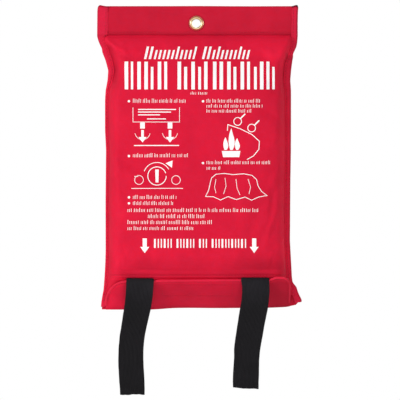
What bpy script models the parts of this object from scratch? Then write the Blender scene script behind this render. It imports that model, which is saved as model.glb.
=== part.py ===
# Fire blanket in a hanging fabric pouch.
#
# Frame: metres, +Z up, the printed front faces -Y, the wall side faces +Y.
# The origin lies in the middle of the pouch's flat back face, the plane y = 0.
# The pouch hangs by the brass eyelet in its header.  "Left" is -X.
#
# A flat back sheet and a bulged front sheet are sewn together along both sides
# inside folded binding tapes.  The lower end is an open mouth, and a closure
# flap turns up over it, held by a hook strip and a loop strip.  Two webbing
# tabs are sewn to the folded blanket, leave through the mouth, come up between
# the mouth's hem and the flap, fold over the flap's edge and hang down.

import math

import bpy
import bmesh
from mathutils import Vector

MM = 0.001
LEFT, RIGHT = -1, 1
SIDES = ((LEFT, "left"), (RIGHT, "right"))

# ------------------------------------------------------------ fabric, thread
SHEET = 0.6 * MM            # coated fabric, one layer
GAP = 0.3 * MM              # air between neighbouring layers
PRESSED = 0.05 * MM         # how far sewn-down cloth is pressed in
THREAD = 0.3 * MM           # height of a sewing thread
THREAD_GAP = 0.12 * MM      # air under a thread
THREAD_FOOT = 0.25 * MM     # half width of a thread at its foot
THREAD_CREST = 0.15 * MM    # half width of a thread at its crest
THREAD_STEPS = 24           # lengths in a thread that runs along X

# -------------------------------------------------------------- pouch outline
# Height and distance from the middle plane, mm, top to bottom.
EDGE_LEFT = [
    (152.0, 100.2), (122.0, 100.2), (114.0, 97.8), (107.0, 95.2), (99.0, 92.6),
    (88.0, 90.4), (70.0, 91.4), (40.0, 92.2), (0.0, 92.3), (-50.0, 92.2),
    (-93.0, 91.9), (-105.0, 92.3), (-118.0, 92.8), (-128.0, 93.4),
    (-138.0, 94.6), (-144.0, 95.6), (-149.5, 96.5),
]
EDGE_RIGHT = [
    (152.0, 100.2), (122.0, 100.2), (114.0, 99.4), (107.0, 97.2), (99.0, 95.4),
    (88.0, 94.2), (70.0, 93.4), (40.0, 93.4), (0.0, 93.2), (-50.0, 92.7),
    (-93.0, 92.9), (-105.0, 93.6), (-118.0, 94.4), (-128.0, 96.4),
    (-138.0, 101.0), (-144.0, 103.6), (-149.5, 104.2),
]

# --------------------------------------------------------------- side binding
BINDING_TAPE = 0.5 * MM
BINDING_CHAMFER = 0.5 * MM  # on the tape's two outer corners
BINDING_WIDE = {LEFT: 10.0 * MM, RIGHT: 7.0 * MM}    # front leg at the header
BINDING_NARROW = 3.6 * MM   # front leg beside the bulged body
BINDING_BACK = 7.0 * MM     # back leg
BINDING_BOTTOM = -143.5 * MM
BINDING_STITCH_INSET = 0.9 * MM     # seam from the front leg's inner edge
BINDING_FRONT = [(122.0, 3.6), (114.0, 1.8)]  # height, front leg's inner depth, mm
BINDING_HEIGHTS = [         # mm
    152.0, 150.0, 122.0, 119.0, 117.0, 114.0, 107.0, 99.0, 88.0, 70.0, 40.0,
    0.0, -50.0, -93.0, -105.0, -118.0, -128.0, -138.0, BINDING_BOTTOM / MM,
]
TAPE_INSET = BINDING_TAPE + GAP     # the sheets' edges stop inside the tape

# ----------------------------------------------------------------- two sheets
PANEL_TOP = 149.2 * MM      # both sheets end just under the header's fold
BACK_BOTTOM = -149.0 * MM
BACK_HEIGHTS = [            # mm
    PANEL_TOP / MM, 122.0, 121.0, 116.0, 114.0, 107.0, 99.0, 88.0, 70.0, 40.0, 0.0,
    -50.0, -93.0, -105.0, -118.0, -128.0, -138.0, -144.0, BACK_BOTTOM / MM,
]
BACK_DEPTH = [(121.0, 0.9), (116.0, 0.0)]     # height, back face's depth, mm
BACK_MARGIN = BINDING_BACK + 1.0 * MM         # pressed in under the binding

FRONT_BOTTOM = -117.4 * MM  # where the mouth's hem is sewn on
FRONT_HEIGHTS = [           # mm
    PANEL_TOP / MM, 122.0, 118.0, 114.0, 107.0, 99.0, 93.0, 88.0, 79.0, 70.0,
    40.0, 0.0, -50.0, -80.0, -93.0, -105.0, FRONT_BOTTOM / MM,
]
FRONT_DEPTH = [             # height, outer depth over the body, mm
    (122.0, 2.4), (118.0, 4.2), (112.0, 8.2), (105.0, 13.0), (98.0, 17.4),
    (92.0, 20.2), (86.0, 21.4), (78.0, 21.8),
]
MARGIN_DEPTH = [(121.0, 2.4), (116.0, 1.5)]   # height, sewn margin's depth, mm
MARGIN = 4.6 * MM           # flat sewn margin, from the pouch's edge
WALL_RUN = 11.5 * MM        # width over which the front sheet rises
WALL_POWER = 2.5            # squareness of the rise
WALL_STEPS = 7
CROWN = 2.0 * MM            # extra bulge in the middle
CROWN_POWER = 1.2
CROWN_STEPS = 6
CROWN_TOP, CROWN_TOP_FADE = 100.0 * MM, 70.0 * MM          # end, length of fade
CROWN_BOTTOM, CROWN_BOTTOM_FADE = -116.0 * MM, 60.0 * MM

# --------------------------------------------------------------------- header
HEADER_TOP = 150.5 * MM
HEADER_BOTTOM = 122.5 * MM
HEADER_HEM = 4.0 * MM       # height of the row of points above the lower edge
HEADER_DEPTH = 3.3 * MM
HEADER_STITCH_Z = 124.2 * MM
SEAT = (20.0 * MM, 60.0 * MM)         # unpressed patch beside the eyelet, x
SEAT_FADE = (15.0 * MM, 65.0 * MM)    # where the cloth is pressed in again

# --------------------------------------------------------------------- eyelet
EYELET_X = -1.0 * MM
EYELET_Z = 134.1 * MM
EYELET_BORE = 4.25 * MM
EYELET_BARREL = 4.75 * MM
EYELET_FLANGE = 7.35 * MM
EYELET_CLEARANCE = 0.12 * MM
EYELET_STEPS = 32
WASHER_RADIUS = 7.0 * MM
CUTTER_LENGTH = 20.0 * MM

# --------------------------------------------------------------- closure flap
FLAP_ANGLE = math.radians(38.2)   # lean of the closed flap from the vertical
FLAP_HINGE = (0.0, -0.3 * MM, -150.4 * MM)    # middle of the fold line
FLAP_LENGTH = 34.2 * MM
FLAP_START = 3.0 * MM       # where the flap's straight sides begin
FLAP_HALF_LEFT = 92.2 * MM
FLAP_HALF_RIGHT = 92.7 * MM
FLAP_CORNER = 14.0 * MM     # radius of the flap's upper corners
RIM_WIDTH = 2.4 * MM        # tape folded over the flap's edge
RIM_TAPE = 0.4 * MM
RIM_GAP = 0.15 * MM
RIM_CHAMFER = 0.3 * MM

# ------------------------------- mouth hem and strips, along the flap's slope
HEM = 1.2 * MM              # the mouth's hem is two layers
HEM_OFFSET = 3.8 * MM       # hem's middle plane behind the flap's
HEM_FROM = 13.0 * MM
HEM_TO = 38.4 * MM
HEM_STEPS = 4
HEM_LIFT = 0.9 * MM         # least depth of the hem in front of y = 0
HEM_STITCH_INSET = 1.6 * MM     # seam below the hem's upper end
HEM_STITCH_X = (-74.0 * MM, 75.0 * MM)

STRIP = 1.0 * MM            # hook strip and loop strip, each
STRIP_HALF = 36.0 * MM
STRIP_FROM = 15.0 * MM
STRIP_TO = 31.0 * MM
STRIP_EASE = 0.5 * MM       # easing of the strips' short ends
STRIP_BEVEL = 0.3 * MM
STRIP_THREAD_WIDTH = 0.4 * MM
LOOP_STITCH_GROW = 0.8 * MM     # seam outside the loop strip's outline
HOOK_STITCH_INSET = 1.2 * MM    # seam inside the hook strip's outline

# -------------------------------------------------------------------- blanket
BLANKET_HALF = 79.0 * MM    # folded blanket, half its width
BLANKET_TOP = 87.0 * MM
BLANKET_BOTTOM = -115.0 * MM
BLANKET_FRONT = -18.6 * MM
BLANKET_BACK = -2.6 * MM
BLANKET_END = BLANKET_TOP - 1.0 * MM    # free end of the rearmost pass
PASSES = 5                  # the folded strip lies in five passes
PASS = 2.8 * MM             # thickness of one pass
TURN_STEPS = 6
BLANKET_STITCH_Z = -76.0 * MM
BLANKET_STITCH_HALF = BLANKET_HALF - 2.5 * MM

# ------------------------------------------------------------------ pull tabs
WEBBING = 1.2 * MM
TAB_SEWN_Y = -19.5 * MM     # middle plane of the part sewn to the blanket
TAB_SEWN_HEIGHTS = (-82.0 * MM, -100.0 * MM, -114.0 * MM)
TAB_BEND = 0.9 * MM         # cut off each side of the bend behind the hem
TAB_TURN = 1.75 * MM        # radius of the fold over the flap's edge
TAB_TURN_LIFT = 0.25 * MM   # fold's centre beyond the flap's edge
TAB_TURN_END = math.radians(84.0)
TAB_BOW = 0.6 * MM          # forward bow of the hanging part
TAB_BOW_STATIONS = 7        # stations over which it bows
BOX_INSET = 2.5 * MM        # box stitching from the webbing's edges
BOX_Z, BOX_HALF = -97.0 * MM, 12.5 * MM
BOX_THREAD_WIDTH = 0.5 * MM
TAB_ROOT = {                # edges of the sewn webbing, x
    "left": (-70.4 * MM, -44.2 * MM),
    "right": (44.6 * MM, 70.6 * MM),
}
# Hanging part: height, left edge, right edge, mm.  The first station is built
# at the height of the fold's axis.
TAB_TAIL = {
    "left": [
        (-123.3, -70.6, -44.0), (-130.0, -71.0, -44.4), (-143.0, -71.8, -45.2),
        (-155.0, -73.6, -47.4), (-168.0, -75.6, -50.6), (-180.0, -77.6, -53.0),
        (-192.0, -78.6, -54.2), (-205.0, -78.9, -54.2), (-219.0, -78.2, -53.3),
        (-230.0, -77.4, -52.9), (-236.4, -76.9, -52.9),
    ],
    "right": [
        (-123.3, 44.6, 71.2), (-130.0, 45.4, 72.0), (-140.0, 44.8, 71.6),
        (-151.0, 43.0, 70.4), (-163.0, 41.0, 67.8), (-176.0, 39.0, 65.4),
        (-190.0, 37.0, 62.8), (-203.0, 36.9, 61.5), (-216.0, 35.9, 61.4),
        (-226.0, 35.6, 61.1), (-230.8, 36.0, 60.9),
    ],
}
# Rounded upper end: half thickness and rise, in halves of the webbing.
TAB_CAP = [(0.12, 1.0), (0.5, 0.866), (0.866, 0.5)]


# ------------------------------------------------------- scene and materials
for old in list(bpy.data.objects):
    bpy.data.objects.remove(old, do_unlink=True)


def material(name, color, roughness, metallic=0.0):
    mat = bpy.data.materials.new(name)
    mat.use_nodes = True
    shader = mat.node_tree.nodes["Principled BSDF"]
    shader.inputs["Base Color"].default_value = (*color, 1.0)
    shader.inputs["Roughness"].default_value = roughness
    shader.inputs["Metallic"].default_value = metallic
    mat.diffuse_color = (*color, 1.0)
    return mat


RED = material("red_coated_fabric", color=(0.70, 0.012, 0.036), roughness=0.45)
RED_TAPE = material("red_binding_tape", color=(0.62, 0.012, 0.032), roughness=0.6)
BRASS = material("brass", color=(0.80, 0.58, 0.22), roughness=0.28, metallic=1.0)
BLACK = material("black_webbing", color=(0.012, 0.012, 0.014), roughness=0.8)
LOOP = material("loop_pile", color=(0.30, 0.008, 0.02), roughness=0.95)
HOOK = material("hook_tape", color=(0.34, 0.01, 0.02), roughness=0.7)
THREAD_RED = material("red_thread", color=(0.45, 0.006, 0.02), roughness=0.6)
THREAD_BLACK = material("black_thread", color=(0.02, 0.02, 0.022), roughness=0.6)
CLOTH = material("glass_cloth", color=(0.80, 0.78, 0.72), roughness=0.75)
THREAD_WHITE = material("white_thread", color=(0.82, 0.81, 0.78), roughness=0.6)


def add_empty(name, location=(0.0, 0.0, 0.0), parent=None):
    empty = bpy.data.objects.new(name, None)
    empty.location = location
    empty.parent = parent
    bpy.context.scene.collection.objects.link(empty)
    return empty


pouch = add_empty("pouch")
flap_pivot = add_empty("flap_pivot", FLAP_HINGE, pouch)
blanket_slide = add_empty("blanket_slide", parent=pouch)


# -------------------------------------------------------------- mesh helpers
def add_piece(name, bm, mat, sharp=None, origin=(0.0, 0.0, 0.0), parent=pouch):
    """Finish a bmesh as an object with its origin at the given place.

    With sharp, it is shaded smooth except at edges above that angle, degrees.
    The parent stands unrotated at its own location in the pouch's frame.
    """
    bmesh.ops.remove_doubles(bm, verts=bm.verts, dist=1e-7)
    bmesh.ops.recalc_face_normals(bm, faces=bm.faces)
    bmesh.ops.translate(bm, verts=bm.verts, vec=-Vector(origin))
    mesh = bpy.data.meshes.new(name)
    bm.to_mesh(mesh)
    bm.free()
    mesh.materials.append(mat)
    if sharp is not None:
        mesh.shade_smooth()
        mesh.set_sharp_from_angle(angle=math.radians(sharp))
    obj = bpy.data.objects.new(name, mesh)
    obj.parent = parent
    obj.location = Vector(origin) - parent.location
    bpy.context.scene.collection.objects.link(obj)
    return obj


def loft(sections, closed_path=False):
    """A bmesh skinned over closed cross-sections with the same point count."""
    bm = bmesh.new()
    rings = [[bm.verts.new(point) for point in section] for section in sections]
    count = len(rings[0])
    pairs = list(zip(rings, rings[1:]))
    if closed_path:
        pairs.append((rings[-1], rings[0]))
    for ring, following in pairs:
        for i in range(count):
            j = (i + 1) % count
            bm.faces.new((ring[i], ring[j], following[j], following[i]))
    if not closed_path:
        bm.faces.new(rings[0])
        bm.faces.new(list(reversed(rings[-1])))
    return bm


def strip_loft(path, half_thickness, x0, x1):
    """A flat strip between two x, along a path of (y, z)."""
    sections = []
    for i, (y, z) in enumerate(path):
        before = path[max(i - 1, 0)]
        after = path[min(i + 1, len(path) - 1)]
        dy, dz = after[0] - before[0], after[1] - before[1]
        size = math.hypot(dy, dz)
        off_y, off_z = -dz / size * half_thickness, dy / size * half_thickness
        sections.append([
            (x0, y + off_y, z + off_z), (x1, y + off_y, z + off_z),
            (x1, y - off_y, z - off_z), (x0, y - off_y, z - off_z),
        ])
    return loft(sections)


def revolve(profile):
    """A ring: a closed (radius, y) profile turned about the eyelet's axis."""
    sections = []
    for k in range(EYELET_STEPS):
        angle = 2.0 * math.pi * k / EYELET_STEPS
        sections.append([
            (EYELET_X + radius * math.cos(angle), y, EYELET_Z + radius * math.sin(angle))
            for radius, y in profile
        ])
    return loft(sections, closed_path=True)


def sheet_from_rows(outer, thickness):
    """Closed sheet behind rows of outer points.

    The inner face is offset along the sheet's own normal, so that the sheet
    keeps its thickness where it stands steeply.
    """
    last_row, last = len(outer) - 1, len(outer[0]) - 1
    inner = []
    for i in range(last_row + 1):
        line = []
        for j in range(last + 1):
            across = outer[i][min(j + 1, last)] - outer[i][max(j - 1, 0)]
            upward = outer[max(i - 1, 0)][j] - outer[min(i + 1, last_row)][j]
            normal = across.cross(upward).normalized()
            if normal.y < 0:
                normal = -normal
            # the sheet's edges keep square ends
            if j in (0, last) or i in (0, last_row):
                normal.x = 0.0
                if i in (0, last_row):
                    normal.z = 0.0
                normal.normalize()
            line.append(outer[i][j] + normal * thickness)
        inner.append(line)
    bm = bmesh.new()
    vo = [[bm.verts.new(point) for point in line] for line in outer]
    vi = [[bm.verts.new(point) for point in line] for line in inner]
    for i in range(last_row):
        for j in range(last):
            bm.faces.new((vo[i][j], vo[i + 1][j], vo[i + 1][j + 1], vo[i][j + 1]))
            bm.faces.new((vi[i][j], vi[i][j + 1], vi[i + 1][j + 1], vi[i + 1][j]))
    for j in range(last):
        for i in (0, last_row):
            bm.faces.new((vo[i][j], vo[i][j + 1], vi[i][j + 1], vi[i][j]))
    for i in range(last_row):
        for j in (0, last):
            bm.faces.new((vo[i][j], vi[i][j], vi[i + 1][j], vo[i + 1][j]))
    return bm


def thread_across(x0, x1, y, z, normal):
    """Thread along X on a face whose outward normal is (0, *normal)."""
    ny, nz = normal
    sections = []
    for k in range(THREAD_STEPS + 1):
        x = x0 + (x1 - x0) * k / THREAD_STEPS
        crest = THREAD * (0.75 + 0.25 * math.cos(math.pi * k))
        ring = []
        for aside, lift in ((THREAD_FOOT, 0.0), (THREAD_CREST, crest),
                            (-THREAD_CREST, crest), (-THREAD_FOOT, 0.0)):
            out = THREAD_GAP + lift
            ring.append((x, y + ny * out - nz * aside, z + nz * out + ny * aside))
        sections.append(ring)
    return loft(sections)


def thread_frame(x0, x1, low, high, width, place):
    """A rectangular line of thread, growing outward from the given rectangle.

    place(run, lift) gives the (y, z) of a point on the sewn face.
    """
    sections = []
    for x, run, sign_x, sign_run in ((x0, low, -1, -1), (x1, low, 1, -1),
                                     (x1, high, 1, 1), (x0, high, -1, 1)):
        sections.append([
            (x + sign_x * grow, *place(run + sign_run * grow, THREAD_GAP + lift))
            for grow, lift in ((0.0, 0.0), (width, 0.0),
                               (width * 0.8, THREAD), (width * 0.2, THREAD))
        ])
    return loft(sections, closed_path=True)


# ------------------------------------------------------------ shape of pouch
def value_at(table, z):
    """Piecewise linear value at height z, metres, from a table in mm."""
    height = z / MM
    if height >= table[0][0]:
        return table[0][1] * MM
    for (z0, value0), (z1, value1) in zip(table, table[1:]):
        if height >= z1:
            return (value0 + (value1 - value0) * (z0 - height) / (z0 - z1)) * MM
    return table[-1][1] * MM


def edge(side, z):
    """Distance of the pouch's outer edge from the middle plane."""
    return value_at(EDGE_LEFT if side == LEFT else EDGE_RIGHT, z)


HEADER_HALF = edge(LEFT, HEADER_TOP) - TAPE_INSET


def crown_at(z):
    """Extra bulge in the middle, eased out toward both ends."""
    if z >= 0:
        share = (CROWN_TOP - z) / CROWN_TOP_FADE
    else:
        share = (z - CROWN_BOTTOM) / CROWN_BOTTOM_FADE
    share = min(1.0, max(0.0, share))
    return CROWN * share * share * (3 - 2 * share)


def front_row(z, depth, crown):
    """Points of the front sheet's outer face across one height."""
    base = value_at(MARGIN_DEPTH, z)
    rise = max(depth - base, 0.0)
    walls = []
    for side in (LEFT, RIGHT):
        foot = edge(side, z) - MARGIN
        wall = [(side * (edge(side, z) - TAPE_INSET), base)]
        for k in range(WALL_STEPS + 1):
            # close spacing near the foot, where the sheet turns up
            run = 1.0 - math.cos(k / WALL_STEPS * math.pi / 2.0)
            height = (1.0 - (1.0 - run) ** WALL_POWER) ** (1.0 / WALL_POWER)
            wall.append((side * (foot - WALL_RUN * run), base + rise * height))
        walls.append(wall)
    left, right = walls
    x0, x1 = left[-1][0], right[-1][0]
    middle = []
    for k in range(1, CROWN_STEPS):
        share = k / CROWN_STEPS
        bulge = crown * math.sin(math.pi * share) ** CROWN_POWER
        middle.append((x0 + (x1 - x0) * share, base + rise + bulge))
    return [Vector((x, -out, z)) for x, out in left + middle + right[::-1]]


def slope(run, inward):
    """(y, z) at a distance up the flap's slope and inward of its plane."""
    sin, cos = math.sin(FLAP_ANGLE), math.cos(FLAP_ANGLE)
    return (FLAP_HINGE[1] - sin * run + cos * inward,
            FLAP_HINGE[2] + cos * run + sin * inward)


# --------------------------------------------------------- panels and header
def build_eyelet_cutter():
    """Hidden cylinder along Y that cuts the eyelet's hole."""
    bm = bmesh.new()
    bmesh.ops.create_cone(
        bm, cap_ends=True, segments=EYELET_STEPS, radius1=EYELET_BARREL + GAP,
        radius2=EYELET_BARREL + GAP, depth=CUTTER_LENGTH,
    )
    mesh = bpy.data.meshes.new("eyelet_cutter")
    bm.to_mesh(mesh)
    bm.free()
    cutter = bpy.data.objects.new("eyelet_cutter", mesh)
    cutter.location = (EYELET_X, 0.0, EYELET_Z)
    cutter.rotation_euler = (math.pi / 2, 0.0, 0.0)
    cutter.hide_render = True
    cutter.display_type = "WIRE"
    bpy.context.scene.collection.objects.link(cutter)
    return cutter


def cut(obj, cutter):
    mod = obj.modifiers.new("hole", "BOOLEAN")
    mod.operation = "DIFFERENCE"
    mod.object = cutter
    mod.solver = "EXACT"


def build_back_panel():
    sections = []
    for height in BACK_HEIGHTS:
        z = height * MM
        back = -value_at(BACK_DEPTH, z)
        front = back - SHEET
        pressed = back - PRESSED
        x0 = -edge(LEFT, z) + TAPE_INSET
        x1 = edge(RIGHT, z) - TAPE_INSET
        margin0, margin1 = x0 + BACK_MARGIN, x1 - BACK_MARGIN
        sections.append([
            (x0, pressed, z), (margin0, back, z), (margin1, back, z), (x1, pressed, z),
            (x1, front, z), (margin1, front, z), (margin0, front, z), (x0, front, z),
        ])
    return add_piece("back_panel", loft(sections), RED)


def build_front_panel():
    rows = [front_row(height * MM, value_at(FRONT_DEPTH, height * MM),
                      crown_at(height * MM)) for height in FRONT_HEIGHTS]
    return add_piece("front_panel", sheet_from_rows(rows, SHEET), RED, sharp=40)


def build_front_hem():
    """Two layers at the mouth, sloping back behind the flap."""
    rows = []
    for k in range(HEM_STEPS + 1):
        y, z = slope(HEM_TO + (HEM_FROM - HEM_TO) * k / HEM_STEPS, HEM_OFFSET)
        rows.append(front_row(z, -y + HEM / 2.0, 0.0))
    bm = sheet_from_rows(rows, HEM)
    for vert in bm.verts:       # lift the hem's margin off the back sheet
        vert.co.y = min(vert.co.y, -HEM_LIFT)
    add_piece("front_hem", bm, RED, sharp=40)

    y, z = slope(HEM_TO - HEM_STITCH_INSET, HEM_OFFSET - HEM / 2.0)
    normal = (-math.cos(FLAP_ANGLE), -math.sin(FLAP_ANGLE))
    add_piece("hem_stitching", thread_across(*HEM_STITCH_X, y, z, normal),
              THREAD_RED, sharp=60)


def build_header_band():
    """A strip folded over the top of both sheets, from back face to front."""
    radius = HEADER_DEPTH / 2.0
    fold_z = HEADER_TOP - radius
    leg_heights = (HEADER_BOTTOM, HEADER_BOTTOM + HEADER_HEM)
    outer = [(0.0, z) for z in leg_heights]
    inner = [(-SHEET, z) for z in leg_heights]
    for k in range(9):
        angle = math.pi * k / 8.0
        for line, r in ((outer, radius), (inner, radius - SHEET)):
            line.append((-radius + r * math.cos(angle), fold_z + r * math.sin(angle)))
    outer += [(-HEADER_DEPTH, z) for z in reversed(leg_heights)]
    inner += [(-HEADER_DEPTH + SHEET, z) for z in reversed(leg_heights)]

    sections = []
    for x, in_seat in ((-HEADER_HALF, False), (SEAT_FADE[0], False), (SEAT[0], True),
                       (SEAT[1], True), (SEAT_FADE[1], False), (HEADER_HALF, False)):
        section = []
        for y, z in outer + inner[::-1]:
            # the front face is pressed in, but in the seat only its lower edge
            on_front = y < -HEADER_DEPTH + 0.1 * MM
            if on_front and not (in_seat and z > HEADER_BOTTOM + MM):
                y += PRESSED
            section.append((x, y, z))
        sections.append(section)
    return add_piece("header_band", loft(sections), RED, sharp=30)


def build_header_stitching():
    thread = thread_across(
        -HEADER_HALF + BINDING_WIDE[LEFT], HEADER_HALF - BINDING_WIDE[RIGHT],
        -HEADER_DEPTH, HEADER_STITCH_Z, normal=(-1.0, 0.0))
    add_piece("header_stitching", thread, THREAD_RED, sharp=60)


def build_eyelet():
    """Flanged barrel from the front, rolled out over a washer at the back."""
    front = -HEADER_DEPTH
    seat = front - EYELET_CLEARANCE
    washer_bore = EYELET_BARREL + EYELET_CLEARANCE
    eyelet = [                  # radius, y
        (EYELET_BORE, front - 1.1 * MM),
        (EYELET_BORE + 0.35 * MM, front - 1.6 * MM),
        (EYELET_BORE + 1.0 * MM, front - 1.75 * MM),
        (EYELET_FLANGE - 0.9 * MM, front - 1.25 * MM),
        (EYELET_FLANGE - 0.25 * MM, front - 0.75 * MM),
        (EYELET_FLANGE, seat),
        (EYELET_BARREL, seat),
        (EYELET_BARREL, 1.12 * MM),
        (EYELET_BARREL + 0.9 * MM, 1.12 * MM),
        (EYELET_BARREL + 0.9 * MM, 1.42 * MM),
        (EYELET_BARREL + 0.3 * MM, 1.62 * MM),
        (EYELET_BORE + 0.1 * MM, 1.4 * MM),
        (EYELET_BORE, 1.0 * MM),
    ]
    washer = [                  # radius, y
        (washer_bore, 0.2 * MM),
        (WASHER_RADIUS, 0.2 * MM),
        (WASHER_RADIUS, 0.5 * MM),
        (WASHER_RADIUS - 0.5 * MM, 0.85 * MM),
        (washer_bore, 0.95 * MM),
    ]
    for name, profile in (("eyelet", eyelet), ("eyelet_washer", washer)):
        add_piece(name, revolve(profile), BRASS, sharp=35,
                  origin=(EYELET_X, 0.0, EYELET_Z))


# -------------------------------------------------------------- side binding
def leg_width(side, z):
    """Width of the binding's front leg, which narrows below the header."""
    table = [(122.0, BINDING_WIDE[side] / MM), (119.0, BINDING_NARROW / MM)]
    return value_at(table, z)


def build_side_binding(side, side_name):
    """Tape folded round the sheets' edges, its back leg behind y = 0."""
    sections = []
    back = GAP
    back_out = back + BINDING_TAPE
    for height in BINDING_HEIGHTS:
        z = height * MM
        x = edge(side, z)
        front = -value_at(BINDING_FRONT, z)
        front_out = front - BINDING_TAPE
        leg = x - leg_width(side, z)
        sections.append([(side * across, y, z) for across, y in (
            (x - BINDING_BACK, back),
            (x - BINDING_BACK, back_out),
            (x - BINDING_CHAMFER, back_out),
            (x, back_out - BINDING_CHAMFER),
            (x, front_out + BINDING_CHAMFER),
            (x - BINDING_CHAMFER, front_out),
            (leg, front_out),
            (leg, front),
            (x - BINDING_TAPE, front),
            (x - BINDING_TAPE, back),
        )])
    add_piece(side_name + "_side_binding", loft(sections), RED_TAPE, sharp=50)


def build_side_stitching(side, side_name):
    sections = []
    for height in BINDING_HEIGHTS[1:-1]:
        z = height * MM
        x = edge(side, z) - leg_width(side, z) + BINDING_STITCH_INSET
        y = -value_at(BINDING_FRONT, z) - BINDING_TAPE - THREAD_GAP
        sections.append([
            (side * (x - THREAD_FOOT), y, z), (side * (x + THREAD_FOOT), y, z),
            (side * (x + THREAD_CREST), y - THREAD, z),
            (side * (x - THREAD_CREST), y - THREAD, z),
        ])
    add_piece(side_name + "_side_stitching", loft(sections), THREAD_RED, sharp=60)


# ----------------------------------------------------- hook and loop closure
def fastener(near, near_inset, far_inset):
    """A flat strip on the slope, its near face at the given inward distance."""
    sections = []
    for x, ease in ((-STRIP_HALF, STRIP_EASE), (-STRIP_HALF + STRIP_EASE, 0.0),
                    (STRIP_HALF - STRIP_EASE, 0.0), (STRIP_HALF, STRIP_EASE)):
        low, high = STRIP_FROM + ease, STRIP_TO - ease
        far = near + STRIP
        sections.append([
            (x, *slope(low + near_inset, near)), (x, *slope(low + far_inset, far)),
            (x, *slope(high - far_inset, far)), (x, *slope(high - near_inset, near)),
        ])
    return loft(sections)


def strip_stitching(grow, face):
    """Thread parallel to a strip's outline, on the front of a sloping face."""
    return thread_frame(
        -STRIP_HALF - grow, STRIP_HALF + grow, STRIP_FROM - grow, STRIP_TO + grow,
        STRIP_THREAD_WIDTH, lambda run, lift: slope(run, face - lift))


def build_hook_strip():
    """Strip behind the flap, with its seam on the flap's outer face."""
    add_piece("hook_strip", fastener(SHEET / 2.0 + GAP, 0.0, STRIP_BEVEL), HOOK,
              parent=flap_pivot)
    add_piece("hook_strip_stitching", strip_stitching(-HOOK_STITCH_INSET, -SHEET / 2.0),
              THREAD_RED, sharp=60, parent=flap_pivot)


def build_loop_strip():
    """Strip in front of the hem, with its seam on the hem beside it."""
    near = SHEET / 2.0 + 2 * GAP + STRIP
    add_piece("loop_strip", fastener(near, STRIP_BEVEL, 0.0), LOOP)
    add_piece("loop_strip_stitching",
              strip_stitching(LOOP_STITCH_GROW, HEM_OFFSET - HEM / 2.0),
              THREAD_RED, sharp=60)


# -------------------------------------------------------------- closure flap
def flap_outline(grow):
    """(x, run) from the lower left, up and round to the lower right."""
    points = [(-FLAP_HALF_LEFT - grow, FLAP_START)]
    for center_x, start in ((-FLAP_HALF_LEFT + FLAP_CORNER, math.pi),
                            (FLAP_HALF_RIGHT - FLAP_CORNER, math.pi / 2.0)):
        for k in range(7):
            angle = start - (math.pi / 2.0) * k / 6.0
            points.append((
                center_x + (FLAP_CORNER + grow) * math.cos(angle),
                FLAP_LENGTH - FLAP_CORNER + (FLAP_CORNER + grow) * math.sin(angle)))
    points.append((FLAP_HALF_RIGHT + grow, FLAP_START))
    return points


def build_closure_flap():
    """One sheet, its lower edge rounded about the fold line."""
    bm = bmesh.new()
    outline = flap_outline(0.0)
    half = SHEET / 2.0
    outer = [bm.verts.new((x, *slope(run, -half))) for x, run in outline]
    inner = [bm.verts.new((x, *slope(run, half))) for x, run in outline]
    fold_left, fold_right = [], []
    for k in range(5):          # from the outer face round to the inner face
        angle = math.pi * k / 4.0
        y, z = slope(-half * math.sin(angle), -half * math.cos(angle))
        fold_left.append(bm.verts.new((-FLAP_HALF_LEFT, y, z)))
        fold_right.append(bm.verts.new((FLAP_HALF_RIGHT, y, z)))
    bm.faces.new([fold_left[0]] + outer + [fold_right[0]])
    bm.faces.new([fold_right[-1]] + inner[::-1] + [fold_left[-1]])
    for i in range(len(outline) - 1):
        bm.faces.new((outer[i], inner[i], inner[i + 1], outer[i + 1]))
    for k in range(4):
        bm.faces.new((fold_left[k], fold_right[k], fold_right[k + 1], fold_left[k + 1]))
    bm.faces.new(fold_left + [inner[0], outer[0]])
    bm.faces.new(fold_right[::-1] + [outer[-1], inner[-1]])
    add_piece("closure_flap", bm, RED, origin=FLAP_HINGE, parent=flap_pivot)


def build_flap_binding():
    """A narrow tape folded over the flap's free edge."""
    near = SHEET / 2.0 + RIM_GAP
    far = near + RIM_TAPE
    sections = []
    for leg, bend, rim in zip(flap_outline(-RIM_WIDTH), flap_outline(RIM_GAP),
                              flap_outline(RIM_GAP + RIM_TAPE)):
        sections.append([(x, *slope(run, inward)) for (x, run), inward in (
            (leg, -near), (leg, -far), (rim, -far + RIM_CHAMFER),
            (rim, far - RIM_CHAMFER), (leg, far), (leg, near),
            (bend, near), (bend, -near),
        )])
    add_piece("flap_binding", loft(sections), RED_TAPE, sharp=50,
              origin=FLAP_HINGE, parent=flap_pivot)


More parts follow.
